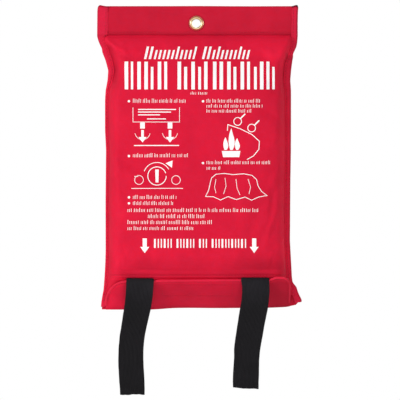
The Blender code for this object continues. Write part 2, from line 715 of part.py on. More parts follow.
# -------------------------------------------------------------- fire blanket
def build_fire_blanket():
    """The folded strip, in passes that turn at the top and the bottom."""
    pitch = (BLANKET_BACK - BLANKET_FRONT - PASS) / (PASSES - 1)
    turn = pitch / 2.0
    half = PASS / 2.0
    centers = [BLANKET_FRONT + half + pitch * i for i in range(PASSES)]
    # the two faces of the strip, from the lower end of the front pass
    face_a = [(centers[0] - half, BLANKET_BOTTOM)]
    face_b = [(centers[0] + half, BLANKET_BOTTOM)]
    for i in range(PASSES - 1):
        center_y = centers[i] + turn
        if i % 2 == 0:          # a turn at the top, face_a outside
            center_z, sign = BLANKET_TOP - turn - half, 1.0
        else:                   # a turn at the bottom, face_a inside
            center_z, sign = BLANKET_BOTTOM + turn + half, -1.0
        for k in range(TURN_STEPS + 1):
            angle = math.pi * k / TURN_STEPS
            for face, radius in ((face_a, turn + sign * half),
                                 (face_b, turn - sign * half)):
                face.append((center_y - radius * math.cos(angle),
                             center_z + sign * radius * math.sin(angle)))
    face_a.append((centers[-1] - half, BLANKET_END))
    face_b.append((centers[-1] + half, BLANKET_END))
    sections = [[(x, y, z) for y, z in face_a + face_b[::-1]]
                for x in (-BLANKET_HALF, BLANKET_HALF)]
    add_piece("fire_blanket", loft(sections), CLOTH, sharp=40, parent=blanket_slide)


def build_blanket_stitching():
    """The blanket's hem seam, on the front pass above its lower edge."""
    thread = thread_across(-BLANKET_STITCH_HALF, BLANKET_STITCH_HALF,
                           BLANKET_FRONT, BLANKET_STITCH_Z, normal=(-1.0, 0.0))
    add_piece("blanket_hem_stitching", thread, THREAD_WHITE, parent=blanket_slide)


# ----------------------------------------------------------------- pull tabs
FOLD_RUN = FLAP_LENGTH + TAB_TURN_LIFT
FOLD_Y, FOLD_Z = slope(FOLD_RUN, 0.0)     # centre of the fold over the flap
TAB_AXIS_Y = FOLD_Y - TAB_TURN            # where the hanging part begins


def tab_root_path():
    """(y, z) from the sewn part, under the hem and over the flap's edge."""
    front_in = TAB_TURN                   # leg between the flap and the hem
    back_in = HEM_OFFSET + HEM / 2.0 + GAP + WEBBING / 2.0    # leg behind the hem
    turn_run = HEM_FROM - GAP
    turn_center = (front_in + back_in) / 2.0
    turn_radius = (back_in - front_in) / 2.0
    # where the leg behind the hem meets the vertical sewn part
    meet_run = ((FLAP_HINGE[1] + math.cos(FLAP_ANGLE) * back_in - TAB_SEWN_Y)
                / math.sin(FLAP_ANGLE))

    path = [(TAB_SEWN_Y, z) for z in TAB_SEWN_HEIGHTS]
    path.append((TAB_SEWN_Y, slope(meet_run, back_in)[1] + TAB_BEND))
    path.append(slope(meet_run - TAB_BEND, back_in))
    path.append(slope((meet_run + turn_run) / 2.0, back_in))
    for k in range(9):          # round the hem's lower end
        angle = math.pi * k / 8.0
        path.append(slope(turn_run - turn_radius * math.sin(angle),
                          turn_center + turn_radius * math.cos(angle)))
    path.append(slope((turn_run + FOLD_RUN) / 2.0, front_in))
    for k in range(5):          # up to a little before the top of the fold
        angle = FLAP_ANGLE + (TAB_TURN_END - FLAP_ANGLE) * k / 4.0
        path.append((FOLD_Y + TAB_TURN * math.cos(angle),
                     FOLD_Z + TAB_TURN * math.sin(angle)))
    return path


def build_tab_root(side_name):
    strip = strip_loft(tab_root_path(), WEBBING / 2.0, *TAB_ROOT[side_name])
    add_piece(side_name + "_tab_root", strip, BLACK, sharp=30, parent=blanket_slide)


def build_tab_stitching(side_name):
    """Box stitching that fastens the tab to the blanket's folded edge."""
    x0, x1 = TAB_ROOT[side_name]
    face = TAB_SEWN_Y - WEBBING / 2.0
    thread = thread_frame(
        x0 + BOX_INSET, x1 - BOX_INSET, BOX_Z - BOX_HALF, BOX_Z + BOX_HALF,
        BOX_THREAD_WIDTH, lambda run, lift: (face - lift, run))
    add_piece(side_name + "_tab_stitching", thread, THREAD_BLACK, sharp=60,
              parent=blanket_slide)


def build_tab(side_name):
    """The hanging part of a tab, on a pivot at the fold."""
    table = TAB_TAIL[side_name]
    half = WEBBING / 2.0
    top_left, top_right = table[0][1:]
    stations = [                # z, left and right edge (mm), y, half thickness
        (FOLD_Z + rise * half, top_left, top_right, TAB_AXIS_Y, thick * half)
        for thick, rise in TAB_CAP
    ]
    for i, (height, left, right) in enumerate(table):
        z = height * MM if i else FOLD_Z
        bow = TAB_BOW * math.sin(math.pi * min(1.0, i / TAB_BOW_STATIONS))
        stations.append((z, left, right, TAB_AXIS_Y - bow, half))
    sections = [[
        (left * MM, y - thick, z), (right * MM, y - thick, z),
        (right * MM, y + thick, z), (left * MM, y + thick, z),
    ] for z, left, right, y, thick in stations]

    origin = ((top_left + top_right) / 2.0 * MM, TAB_AXIS_Y, FOLD_Z)
    pivot = add_empty(side_name + "_tab_pivot", origin, blanket_slide)
    add_piece(side_name + "_tab", loft(sections), BLACK, sharp=30,
              origin=origin, parent=pivot)


# --------------------------------------------------------------------- build
eyelet_cutter = build_eyelet_cutter()
for holed in (build_back_panel(), build_front_panel(), build_header_band()):
    cut(holed, eyelet_cutter)
build_front_hem()
build_header_stitching()
build_eyelet()
build_loop_strip()
build_hook_strip()
build_closure_flap()
build_flap_binding()
build_fire_blanket()
build_blanket_stitching()
for side_sign, side_label in SIDES:
    build_side_binding(side_sign, side_label)
    build_side_stitching(side_sign, side_label)
    build_tab_root(side_label)
    build_tab_stitching(side_label)
    build_tab(side_label)
bpy.context.view_layer.update()
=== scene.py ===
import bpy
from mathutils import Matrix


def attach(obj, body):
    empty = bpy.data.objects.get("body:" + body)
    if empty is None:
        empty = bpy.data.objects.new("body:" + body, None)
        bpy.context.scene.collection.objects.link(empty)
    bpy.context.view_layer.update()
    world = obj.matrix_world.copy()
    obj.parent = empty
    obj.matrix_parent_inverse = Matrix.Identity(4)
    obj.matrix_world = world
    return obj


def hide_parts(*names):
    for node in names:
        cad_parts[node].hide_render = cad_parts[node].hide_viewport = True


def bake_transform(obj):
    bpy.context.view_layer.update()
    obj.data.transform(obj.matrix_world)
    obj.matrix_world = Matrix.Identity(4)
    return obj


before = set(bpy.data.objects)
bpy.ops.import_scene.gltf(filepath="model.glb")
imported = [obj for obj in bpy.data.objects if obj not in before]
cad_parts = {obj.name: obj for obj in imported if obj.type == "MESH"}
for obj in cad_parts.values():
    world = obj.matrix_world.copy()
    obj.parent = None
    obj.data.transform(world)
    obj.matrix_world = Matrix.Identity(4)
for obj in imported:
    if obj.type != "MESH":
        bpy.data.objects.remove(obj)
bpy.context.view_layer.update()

import math
import random

import bpy
import bmesh
import numpy as np
from mathutils import Vector, noise
from mathutils.bvhtree import BVHTree
from mathutils.geometry import tessellate_polygon

scene = bpy.context.scene

# ------------------------------------------------------------ main dimensions
MM = 0.001
LEFT, RIGHT = -1, 1
CLOTH = 0.55                          # thickness of the red cloth
EYELET_X, EYELET_Z = -1.0, 134.1
EYELET_HOLE = 4.95
HEADER_SEAM_Z = 125.2
HEM_RIDGE_Z, HEM_SEAM_Z = -114.9, -117.6
FOLD_Y, FOLD_Z = -0.3, -150.4         # the flap's fold line
LEAN = math.radians(38.2)             # lean of the flap from upright
SIN_LEAN, COS_LEAN = math.sin(LEAN), math.cos(LEAN)
FLAP_OUT = (0, -COS_LEAN, -SIN_LEAN)  # outward from the flap
CAMERA_AT = Vector((2.65, -2408.0, -43.0))

# Outer edges of the pouch: (z, x)
EDGE_L = [(153, -97.0), (152.2, -98.3), (151.2, -99.2), (149.5, -99.8), (146, -100.05),
          (121, -100.25), (119, -99.65), (117, -99.15), (113, -97.55), (109, -95.55),
          (105, -95.05), (101, -93.45), (97, -91.85), (87, -89.15), (77, -89.85),
          (67, -91.75), (57, -92.35), (27, -92.35), (7, -91.35), (-43, -91.85),
          (-93, -91.75), (-105, -92.05), (-113, -92.45), (-123, -93.05), (-133, -93.85),
          (-137, -94.65), (-141, -95.35), (-145, -96.05), (-151.5, -96.45)]
EDGE_R = [(153, 99.6), (152, 100.4), (150, 100.9), (146, 100.5), (137, 100.25),
          (121, 100.25), (115, 99.75), (111, 99.05), (107, 97.25), (103, 95.45),
          (101, 95.75), (97, 94.95), (87, 93.65), (77, 92.85), (67, 93.55), (37, 93.55),
          (7, 93.45), (-23, 92.95), (-63, 92.65), (-83, 92.45), (-93, 92.95),
          (-105, 93.65), (-119, 94.35), (-125, 95.05), (-127, 96.25), (-129, 98.15),
          (-131, 99.35), (-133, 99.75), (-137, 101.25), (-141, 103.25), (-143, 104.25),
          (-145, 104.35), (-146.5, 103.0), (-151.5, 98.0)]
# Widths of the side binding tapes: (z, width)
TAPE_L = [(152, 10.6), (122.5, 10.6), (120, 7.0), (112, 6.6), (102, 7.6), (95, 7.2),
          (82, 6.2), (67, 4.2), (50, 3.4), (-100, 3.4), (-118, 3.6), (-130, 4.0),
          (-152, 4.2)]
TAPE_R = [(152, 6.5), (122.5, 6.5), (118, 6.4), (107, 5.4), (103, 4.6), (98, 6.2),
          (92, 7.4), (80, 7.2), (60, 6.4), (40, 6.2), (-60, 5.8), (-100, 5.6),
          (-118, 5.6), (-126, 6.0), (-135, 7.0), (-152, 7.5)]
# Unevenness of the flap's fold: (x, rise)
FOLD = [(-104, -2.6), (-96, -2.4), (-42, -2.4), (-28, -0.9), (-10, -0.6), (20, -0.9),
        (72, -0.6), (93, 0.4), (98, 1.6), (104, 4.0)]


def curve(rows, soft, shift=0.0):
    """A table as a function, smoothed over `soft` millimetres."""
    rows = sorted(rows)
    places = np.array([r[0] for r in rows], float)
    values = np.array([r[1] for r in rows], float) + shift
    steps = np.linspace(-soft, soft, 9)
    return lambda v: np.mean([np.interp(np.asarray(v) + s, places, values) for s in steps],
                             axis=0)


edge = {LEFT: curve(EDGE_L, 1.0, shift=-0.3), RIGHT: curve(EDGE_R, 0.9, shift=0.45)}
tape = {LEFT: curve(TAPE_L, 1.0), RIGHT: curve(TAPE_R, 1.0)}
fold_wave = curve(FOLD, 8.0)


def inner_edges(z):
    """x of the inner edges of the left and right tapes."""
    return edge[LEFT](z) + tape[LEFT](z), edge[RIGHT](z) - tape[RIGHT](z)


def slope(t, inward):
    """(y, z) at t up the flap's slope from its fold, and inward of it."""
    return (FOLD_Y - SIN_LEAN * t + COS_LEAN * inward,
            FOLD_Z + COS_LEAN * t + SIN_LEAN * inward)


# ------------------------------------------------------------- number helpers
def clamp(v):
    return np.clip(v, 0.0, 1.0)


def smooth(t):
    return t * t * (3 - 2 * t)


def bell(v, centre, width):
    return np.exp(-((v - centre) / width) ** 2)


def spot(x, z, centre_x, centre_z, width_x, width_z):
    return np.exp(-(((x - centre_x) / width_x) ** 2 + ((z - centre_z) / width_z) ** 2))


def rise(t, power):
    """A rounded shoulder from 0 to 1."""
    return (1.0 - (1.0 - clamp(t)) ** power) ** (1.0 / power)


def soft_min(a, b, blend):
    h = clamp(0.5 + 0.5 * (b - a) / blend)
    return b * (1 - h) + a * h - blend * h * (1 - h)


def bezier(start, middle, end, t):
    return tuple((1 - t) ** 2 * a + 2 * t * (1 - t) * b + t * t * c
                 for a, b, c in zip(start, middle, end))


def chain(stops, counts):
    """Even steps from stop to stop, `counts` points in each span."""
    last = len(counts) - 1
    return np.concatenate([np.linspace(stops[i], stops[i + 1], n, endpoint=i == last)
                           for i, n in enumerate(counts)])


def xyz(x, y, z):
    """Points from their coordinates, each an array or a single number."""
    return np.stack(np.broadcast_arrays(x, y, z), axis=-1)


def axes(points):
    """Views of the x, y and z of a grid of points."""
    return np.moveaxis(points, -1, 0)


def noise_at(x, y, z, size, seed):
    return noise.noise(Vector((x / size + seed, y / size + seed * 1.7, z / size - seed)))


def noise_grid(x, z, size, seed):
    """Smooth noise over a grid, quick: sampled coarsely, then interpolated."""
    step = size / 5.0
    x0, z0 = x.min() - step, z.min() - step
    xs = np.arange(x0, x.max() + 2 * step + step, step)
    zs = np.arange(z0, z.max() + 2 * step + step, step)
    table = np.array([[noise.noise(Vector((a / size + seed, seed * 0.37, b / size)))
                       for a in xs] for b in zs])
    col = np.clip((x - x0) / step, 0, len(xs) - 1.001)
    row = np.clip((z - z0) / step, 0, len(zs) - 1.001)
    i, j = col.astype(int), row.astype(int)
    across, down = smooth(col - i), smooth(row - j)
    return ((table[j, i] * (1 - across) + table[j, i + 1] * across) * (1 - down)
            + (table[j + 1, i] * (1 - across) + table[j + 1, i + 1] * across) * down)


# --------------------------------------------------------------- mesh helpers
def register(obj, slot, rides, *replaced):
    if rides:
        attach(obj, rides)
    if replaced:
        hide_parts(*replaced)


def make(name, points, faces, mat, attrs=None, sharp_angle=50):
    """A mesh object from points in millimetres."""
    mesh = bpy.data.meshes.new(name)
    mesh.from_pydata((np.asarray(points, float) * MM).tolist(), [],
                     [tuple(int(i) for i in f) for f in faces])
    mesh.materials.append(mat)
    for key, values in (attrs or {}).items():
        values = np.asarray(values, np.float32)
        kind = "FLOAT" if values.ndim == 1 else "FLOAT_VECTOR"
        layer = mesh.attributes.new(key, kind, "POINT")
        layer.data.foreach_set("value" if kind == "FLOAT" else "vector", values.ravel())
    bm = bmesh.new()
    bm.from_mesh(mesh)
    bmesh.ops.recalc_face_normals(bm, faces=bm.faces)
    bm.to_mesh(mesh)
    bm.free()
    mesh.shade_smooth()
    if sharp_angle < 180:
        mesh.set_sharp_from_angle(angle=math.radians(sharp_angle))
    obj = bpy.data.objects.new(name, mesh)
    scene.collection.objects.link(obj)
    return obj


def grid_faces(rows, cols, keep=None):
    out = []
    for j in range(rows - 1):
        for i in range(cols - 1):
            if keep is None or keep[j, i]:
                a = j * cols + i
                out.append((a, a + 1, a + cols + 1, a + cols))
    return out


def grid_normals(points):
    normals = np.cross(np.gradient(points, axis=1), np.gradient(points, axis=0))
    return normals / np.maximum(np.linalg.norm(normals, axis=2, keepdims=True), 1e-9)


def thicken(points, faces, normals, front, back):
    """A closed shell from an open surface, between two offsets along its normals."""
    n = len(points)
    shell = np.vstack([points + normals * front, points + normals * back])
    out = [tuple(f) for f in faces] + [tuple(i + n for i in reversed(f)) for f in faces]
    seen = {}
    for f in faces:
        for e in zip(f, (*f[1:], f[0])):
            seen.setdefault((min(e), max(e)), []).append(e)
    for uses in seen.values():
        if len(uses) == 1:
            i, j = uses[0]
            out.append((j, i, i + n, j + n))
    return shell, out


def drop_loose(points, faces, attrs):
    used = np.zeros(len(points), bool)
    for f in faces:
        used[list(f)] = True
    index = np.cumsum(used) - 1
    return (points[used], [tuple(index[i] for i in f) for f in faces],
            {k: np.asarray(v)[used] for k, v in attrs.items()})


def cloth_coords(points):
    """Distances along both directions of a grid, for a weave that lies in the cloth."""
    rows, cols = points.shape[:2]
    u, v = np.zeros((rows, cols)), np.zeros((rows, cols))
    u[:, 1:] = np.cumsum(np.linalg.norm(np.diff(points, axis=1), axis=2), axis=1)
    u -= u[:, cols // 2:cols // 2 + 1]
    v[1:, :] = np.cumsum(np.linalg.norm(np.diff(points, axis=0), axis=2), axis=0)
    v[:] = v[:, cols // 2:cols // 2 + 1]
    return xyz(u, v, 0.0)


def sheet(name, points, thick, mat, keep=None, shade=None, angle=75):
    """A closed cloth sheet from a grid of points on its middle surface."""
    rows, cols = points.shape[:2]
    normals = grid_normals(points).reshape(-1, 3)
    shell, faces = thicken(points.reshape(-1, 3), grid_faces(rows, cols, keep), normals,
                           thick / 2.0, -thick / 2.0)
    weave = cloth_coords(points).reshape(-1, 3)
    tone = np.ones(rows * cols) if shade is None else shade.reshape(-1)
    attrs = {"wv": np.vstack([weave, weave]), "shade": np.concatenate([tone, tone])}
    shell, faces, attrs = drop_loose(shell, faces, attrs)
    return make(name, shell, faces, mat, attrs, angle)


def around_eyelet(points, radius):
    """Which cells of a grid lie clear of the eyelet hole."""
    solid = np.hypot(points[:, :, 0] - EYELET_X, points[:, :, 2] - EYELET_Z) > radius
    return solid[:-1, :-1] & solid[1:, :-1] & solid[:-1, 1:] & solid[1:, 1:]


def tube_sides(base, sections, count):
    """Side faces of a tube of rings with `count` points each, from vertex `base`."""
    faces = []
    for k in range(sections - 1):
        for m in range(count):
            a = base + k * count + m
            b = base + k * count + (m + 1) % count
            faces.append((a, b, b + count, a + count))
    return faces


def closed_tube(base, sections, count):
    last = base + (sections - 1) * count
    return (tube_sides(base, sections, count)
            + [tuple(base + m for m in reversed(range(count))),
               tuple(last + m for m in range(count))])


def ring_loft(name, rings, mat, shade):
    """A closed body from rings[section, point, xyz], with filled ends."""
    sections, count = rings.shape[:2]
    faces = tube_sides(0, sections, count)
    faces.append(tuple(range(count)))
    faces.append(tuple((sections - 1) * count + i for i in reversed(range(count))))
    closed = np.concatenate([rings, rings[:, :1]], axis=1)
    around = np.linalg.norm(np.diff(closed, axis=1), axis=2)
    u = np.concatenate([np.zeros((sections, 1)), np.cumsum(around, axis=1)[:, :-1]], axis=1)
    along = np.linalg.norm(np.diff(rings.mean(axis=1), axis=0), axis=1)
    v = np.concatenate([[0.0], np.cumsum(along)])
    return make(name, rings.reshape(-1, 3), faces, mat,
                {"wv": xyz(u, v[:, None], 0.0).reshape(-1, 3),
                 "shade": np.asarray(shade).reshape(-1)}, 60)


# ------------------------------------------------------------------ materials
SOCKETS = {"color": "Base Color", "rough": "Roughness", "metal": "Metallic",
           "specular": "Specular IOR Level", "specular_tint": "Specular Tint",
           "sheen": "Sheen Weight", "sheen_rough": "Sheen Roughness",
           "sheen_tint": "Sheen Tint", "glow_color": "Emission Color",
           "glow": "Emission Strength"}
RED_GLOSS = (1.0, 0.35, 0.38)


class Graph:
    """Short ways to add and link shader nodes."""

    def __init__(self, tree):
        self.tree, self.nodes = tree, tree.nodes

    def feed(self, socket, value):
        if isinstance(value, bpy.types.NodeSocket):
            self.tree.links.new(value, socket)
        else:
            socket.default_value = (*value, 1.0) if isinstance(value, tuple) else value

    def add(self, kind, inputs=None, **settings):
        made = self.nodes.new("ShaderNode" + kind)
        for key, value in settings.items():
            setattr(made, key, value)
        for socket, value in (inputs or {}).items():
            self.feed(made.inputs[socket], value)
        return made

    def math(self, operation, *values):
        return self.add("Math", dict(enumerate(values)), operation=operation).outputs[0]

    def multiply(self, a, b):
        return self.math("MULTIPLY", a, b)

    def plus(self, a, b):
        return self.math("ADD", a, b)

    def sine(self, value, rate):
        return self.math("SINE", self.multiply(value, rate))

    def cloth_uv(self):
        """Distances in millimetres along and across the cloth."""
        stored = self.add("Attribute", attribute_name="wv")
        parts = self.add("SeparateXYZ", {0: stored.outputs["Vector"]})
        return parts.outputs[0], parts.outputs[1]

    def place(self):
        """Place in the object, in millimetres."""
        where = self.add("TexCoord")
        return self.add("VectorMath", {"Scale": 1000.0, 0: where.outputs["Object"]},
                        operation="SCALE").outputs[0]

    def noise(self, place, per_mm, detail=3.0, rough=0.55):
        return self.add("TexNoise", {"Scale": per_mm, "Detail": detail, "Roughness": rough,
                                     "Vector": place}).outputs["Fac"]

    def spread(self, value, low, high, span=(0.3, 0.7)):
        """`value` over `span` mapped onto low..high."""
        return self.add("MapRange", {1: span[0], 2: span[1], 3: low, 4: high,
                                     0: value}).outputs[0]

    def mix(self, factor, a, b, blend="MIX"):
        return self.add("Mix", {0: factor, 6: a, 7: b}, data_type="RGBA",
                        blend_type=blend).outputs[2]

    def gray(self, value):
        return self.add("CombineColor", {0: value, 1: value, 2: value}).outputs[0]

    def toned(self, color, tone):
        return self.mix(1.0, color, self.gray(tone), "MULTIPLY")

    def shaded(self, tone):
        """The tone, darkened or lightened by the painted shade and light stored on the mesh."""
        return self.multiply(tone, self.add("Attribute", attribute_name="shade").outputs["Fac"])

    def weave(self, u, v, pitch):
        """Plain weave: warp and weft crowns in a checkerboard."""
        rate = math.pi / pitch
        return self.multiply(self.sine(u, rate), self.sine(v, rate))

    def surface(self, **values):
        for key, value in values.items():
            self.feed(self.bsdf.inputs[SOCKETS[key]], value)

    def bump(self, height, strength, distance):
        made = self.add("Bump", {"Strength": strength, "Distance": distance,
                                 "Height": height})
        self.feed(self.bsdf.inputs["Normal"], made.outputs[0])


def new_material(name):
    mat = bpy.data.materials.new(name)
    mat.use_nodes = True
    g = Graph(mat.node_tree)
    g.bsdf = g.nodes["Principled BSDF"]
    return mat, g


def fabric(name, base, pitch=0.55, weave=0.35, rough=0.62, sheen=0.0, variation=0.07,
           weave_shade=0.10):
    """Coated woven cloth: weave bump, painted shade between the weave's crowns, blotches, and
    the painted shade and light stored on the mesh.
    """
    mat, g = new_material(name)
    u, v = g.cloth_uv()
    place = g.place()
    crowns = g.weave(u, v, pitch)
    blotches = g.noise(place, per_mm=1.0 / 28.0, detail=3.0, rough=0.5)
    fine = g.noise(place, per_mm=0.9, detail=2.0, rough=0.6)
    slubs = g.noise(place, per_mm=0.22, detail=3.0, rough=0.6)
    tone = g.spread(blotches, 1.0 - variation, 1.0 + variation)
    for value, share in ((fine, 0.35), (slubs, 0.3)):
        tone = g.multiply(tone, g.spread(value, 1.0 - share * variation,
                                         1.0 + share * variation))
    # darker between the weave's crowns: painted shade in the weave's hollows
    tone = g.multiply(tone, g.spread(crowns, 1.0 - weave_shade, 1.0 + weave_shade * 0.5,
                                     span=(-1.0, 1.0)))
    tone = g.shaded(tone)
    warm = tuple(min(1.0, c * f) for c, f in zip(base, (1.0, 0.75, 0.82)))
    color = g.mix(g.spread(slubs, 0.0, 1.0, span=(0.35, 0.65)), base, warm)
    g.surface(color=g.toned(color, tone), rough=g.spread(fine, rough - 0.05, rough + 0.06),
              specular=0.22, specular_tint=RED_GLOSS)
    if sheen:
        g.surface(sheen=sheen, sheen_rough=0.45, sheen_tint=RED_GLOSS)
    height = g.plus(g.multiply(crowns, weave), g.multiply(fine, 0.5))
    height = g.plus(height, g.multiply(slubs, 1.6))
    g.bump(height, strength=0.5, distance=0.00012)
    return mat


def webbing(name):
    """Black ribbed tape: ribs along its length, crossed by fine picks."""
    rib_pitch, pick_pitch = 1.3, 0.8
    mat, g = new_material(name)
    u, v = g.cloth_uv()
    place = g.place()
    ribs = g.sine(u, 2 * math.pi / rib_pitch)
    picks = g.sine(v, 2 * math.pi / pick_pitch)
    cross = g.multiply(picks, g.sine(u, 2 * math.pi / (2 * rib_pitch)))
    blotches = g.noise(place, per_mm=0.05, detail=3.0, rough=0.5)
    fuzz = g.noise(place, per_mm=1.6, detail=3.0, rough=0.7)
    tone = g.spread(blotches, 0.8, 1.2)
    # darker in the hollows between the ribs: painted shade
    tone = g.multiply(tone, g.spread(ribs, 0.84, 1.12, span=(-1, 1)))
    tone = g.multiply(tone, g.spread(fuzz, 0.8, 1.25))
    tone = g.shaded(tone)
    g.surface(color=g.toned((0.0068, 0.0059, 0.0076), tone), rough=0.7, specular=0.16,
              sheen=0.02)
    height = g.plus(g.multiply(ribs, 1.0), g.multiply(cross, 0.55))
    height = g.plus(height, g.multiply(fuzz, 0.8))
    g.bump(height, strength=0.8, distance=0.00018)
    return mat


def glass_cloth(name):
    """White woven glass fibre: coarse plain weave with a faint satin gloss."""
    mat, g = new_material(name)
    u, v = g.cloth_uv()
    place = g.place()
    crowns = g.weave(u, v, pitch=1.0)
    blotches = g.noise(place, per_mm=0.03, detail=4.0, rough=0.5)
    fine = g.noise(place, per_mm=1.1, detail=3.0, rough=0.6)
    # darker between the weave's crowns: painted shade in its hollows
    color = g.mix(g.spread(crowns, 0.0, 1.0, span=(-1, 1)),
                  (0.60, 0.575, 0.51), (0.83, 0.81, 0.75))
    tone = g.multiply(g.spread(blotches, 0.9, 1.06), g.spread(fine, 0.93, 1.05))
    tone = g.shaded(tone)
    g.surface(color=g.toned(color, tone), rough=g.spread(crowns, 0.7, 0.42, span=(-1, 1)),
              specular=0.35, sheen=0.15)
    g.bump(g.plus(crowns, g.multiply(fine, 0.7)), strength=0.8, distance=0.0002)
    return mat


def thread(name, base):
    """Sewing thread: two plies twisted, with a soft gloss."""
    mat, g = new_material(name)
    place = g.place()
    plies = g.add("TexWave", {"Scale": 1.1, "Distortion": 0.4, "Vector": place},
                  wave_type="BANDS", bands_direction="DIAGONAL").outputs["Fac"]
    blotches = g.noise(place, per_mm=0.15, detail=2.0)
    # darker bands between the twisted plies: painted shade; the blotches are random tone
    ply_shade_and_blotches = g.multiply(plies, 0.6)
    ply_shade_and_blotches = g.plus(ply_shade_and_blotches, g.multiply(blotches, 0.5))
    g.surface(color=g.mix(ply_shade_and_blotches, tuple(c * 0.55 for c in base), base),
              rough=0.48, specular=0.25)
    g.bump(plies, strength=0.6, distance=0.00008)
    return mat


def brass(name):
    mat, g = new_material(name)
    place = g.place()
    stain = g.noise(place, per_mm=0.35, detail=4.0, rough=0.6)
    grit = g.noise(place, per_mm=2.6, detail=3.0, rough=0.7)
    g.surface(color=g.mix(g.spread(stain, 0.0, 1.0, span=(0.35, 0.7)),
                          (0.95, 0.78, 0.48), (0.76, 0.55, 0.27)),
              metal=1.0, rough=g.spread(grit, 0.2, 0.4))
    g.bump(grit, strength=0.25, distance=0.00006)
    return mat


def ink(name):
    """White screen ink with slightly uneven cover."""
    mat, g = new_material(name)
    place = g.place()
    cover = g.noise(place, per_mm=1.3, detail=3.0, rough=0.6)
    blotches = g.noise(place, per_mm=0.06, detail=3.0, rough=0.5)
    # the faint white glow is painted light that keeps the print bright where the cloth is in
    # shade
    g.surface(color=g.mix(g.spread(cover, 0.0, 1.0, span=(0.28, 0.5)),
                          (0.95, 0.90, 0.90), (1.0, 0.995, 0.99)),
              rough=g.spread(blotches, 0.5, 0.62), glow_color=(1.0, 1.0, 1.0), glow=0.10,
              specular=0.3)
    g.bump(cover, strength=0.35, distance=0.00005)
    return mat


RED_CLOTH = fabric("red_cloth", (0.787, 0.0122, 0.050))
RED_HEADER = fabric("red_header_cloth", (0.635, 0.0122, 0.043), rough=0.6, variation=0.06)
RED_BACK = fabric("red_back_cloth", (0.70, 0.0105, 0.044), variation=0.08)
RED_FLAP = fabric("red_flap_cloth", (0.77, 0.0118, 0.050), variation=0.07)
RED_TAPE = fabric("red_binding_tape", (0.78, 0.0175, 0.064), pitch=0.42, weave=0.55,
                  rough=0.55, variation=0.06, weave_shade=0.14)
RED_RIM = fabric("red_rim_tape", (0.84, 0.020, 0.065), pitch=0.42, weave=0.5,
                 rough=0.5, variation=0.05, weave_shade=0.12)
LOOP_PILE = fabric("red_loop_pile", (0.55, 0.012, 0.035), pitch=0.9, weave=0.9,
                   rough=0.85, variation=0.15, weave_shade=0.3, sheen=0.3)
HOOK_TAPE = fabric("red_hook_tape", (0.48, 0.010, 0.030), pitch=1.2, weave=0.6,
                   rough=0.45, variation=0.10, weave_shade=0.25)
BLACK_WEB = webbing("black_webbing_ribs")
GLASS = glass_cloth("glass_cloth_weave")
BRASS = brass("brass_rolled")
THREADS = {color: thread(f"thread_{color}_ply", base) for color, base in (
    ("red", (0.62, 0.012, 0.040)),
    ("white", (0.82, 0.80, 0.76)),
    ("black", (0.02, 0.019, 0.022)))}
INK = ink("white_screen_ink")


# --------------------------------------------------------- shape of the front
# Width of the rounded shoulder inside each tape: (z, width)
shoulder = {
    LEFT: curve([(150, 40), (121, 38), (105, 30), (90, 22), (70, 17), (40, 15),
                 (-100, 14.5), (-150, 14)], 4),
    RIGHT: curve([(150, 34), (121, 32), (105, 25), (90, 17), (70, 14), (40, 13),
                  (-100, 13), (-150, 13)], 4)}
# Depth of the flat margin at the tapes: (z, depth)
margin_depth = curve([(150, 2.1), (123, 2.1), (118, 1.8), (110, 1.35), (-150, 1.3)], 1.5)
FRONT_DEPTH = 21.5

# Creases: (points (x, z) from one end to the other, half width, lift)
CREASES = [
    # top left: a fold running in from the corner, and the hollow by the tape
    ([(-96.5, 119), (-83, 110.5), (-69, 104)], 1.9, 1.25),
    ([(-84, 105), (-74, 100), (-60, 95)], 3.6, -0.65),
    ([(-91.5, 119), (-88.5, 111), (-85, 101), (-82.7, 92), (-82.0, 80), (-83.5, 66)],
     3.1, -2.6),
    # top right: hollow from the corner, crumple below it, long fold further down
    ([(93, 121), (92.5, 112), (91.5, 106)], 2.0, -1.3),
    ([(92, 107), (88, 101), (89, 95)], 1.8, 1.2),
    ([(95, 104), (90, 99), (87, 93)], 1.3, -1.3),
    ([(90.0, 109), (89.4, 101), (87.2, 94), (86.3, 86), (87.0, 76), (87.6, 64)], 1.7, -2.3),
    ([(90, 112), (80, 102), (70, 96)], 5.0, 0.9),
    ([(80, 110), (76, 96), (74, 84)], 4.5, -0.7),
    # long shallow hollows down the right and left sides
    ([(86.5, 60), (85.5, 10), (86.0, -30), (85.0, -70), (84.5, -104)], 2.6, -0.7),
    ([(-87.5, 60), (-88, 10), (-87.5, -50), (-87.5, -100)], 1.6, -0.35),
    # slack above the two straps
    ([(-72, -96), (-56, -102), (-42, -98)], 9.0, -0.75),
    ([(38, -95), (55, -102), (72, -97)], 10.0, -0.85),
    ([(-35, -103), (5, -99), (32, -104)], 8.0, 0.35),
    ([(20, -40), (26, -75), (30, -108)], 9.0, -0.25),
    ([(-84, -113), (-79, -108), (-78, -100)], 3.0, 0.5),
]


def stroke_lift(x, z, points, width, lift):
    """Lift along a broken line, fading toward its ends."""
    best = np.full(x.shape, 1e9)
    along = np.zeros(x.shape)
    total = sum(math.dist(a, b) for a, b in zip(points, points[1:]))
    done = 0.0
    for (ax, az), (bx, bz) in zip(points, points[1:]):
        dx, dz = bx - ax, bz - az
        length = math.hypot(dx, dz)
        t = clamp(((x - ax) * dx + (z - az) * dz) / (length * length))
        distance = np.hypot(x - ax - t * dx, z - az - t * dz)
        closer = distance < best
        best = np.where(closer, distance, best)
        along = np.where(closer, (done + t * length) / total, along)
        done += length
    fade = smooth(clamp(np.minimum(along, 1 - along) / 0.22))
    return lift * fade * bell(best, 0.0, width)


def side_rise(x, z):
    """0 at the tapes, 1 over the full part of the pouch."""
    left, right = inner_edges(z)
    return (rise((x - left) / shoulder[LEFT](z), 2.1)
            * rise((right - x) / shoulder[RIGHT](z), 2.2))


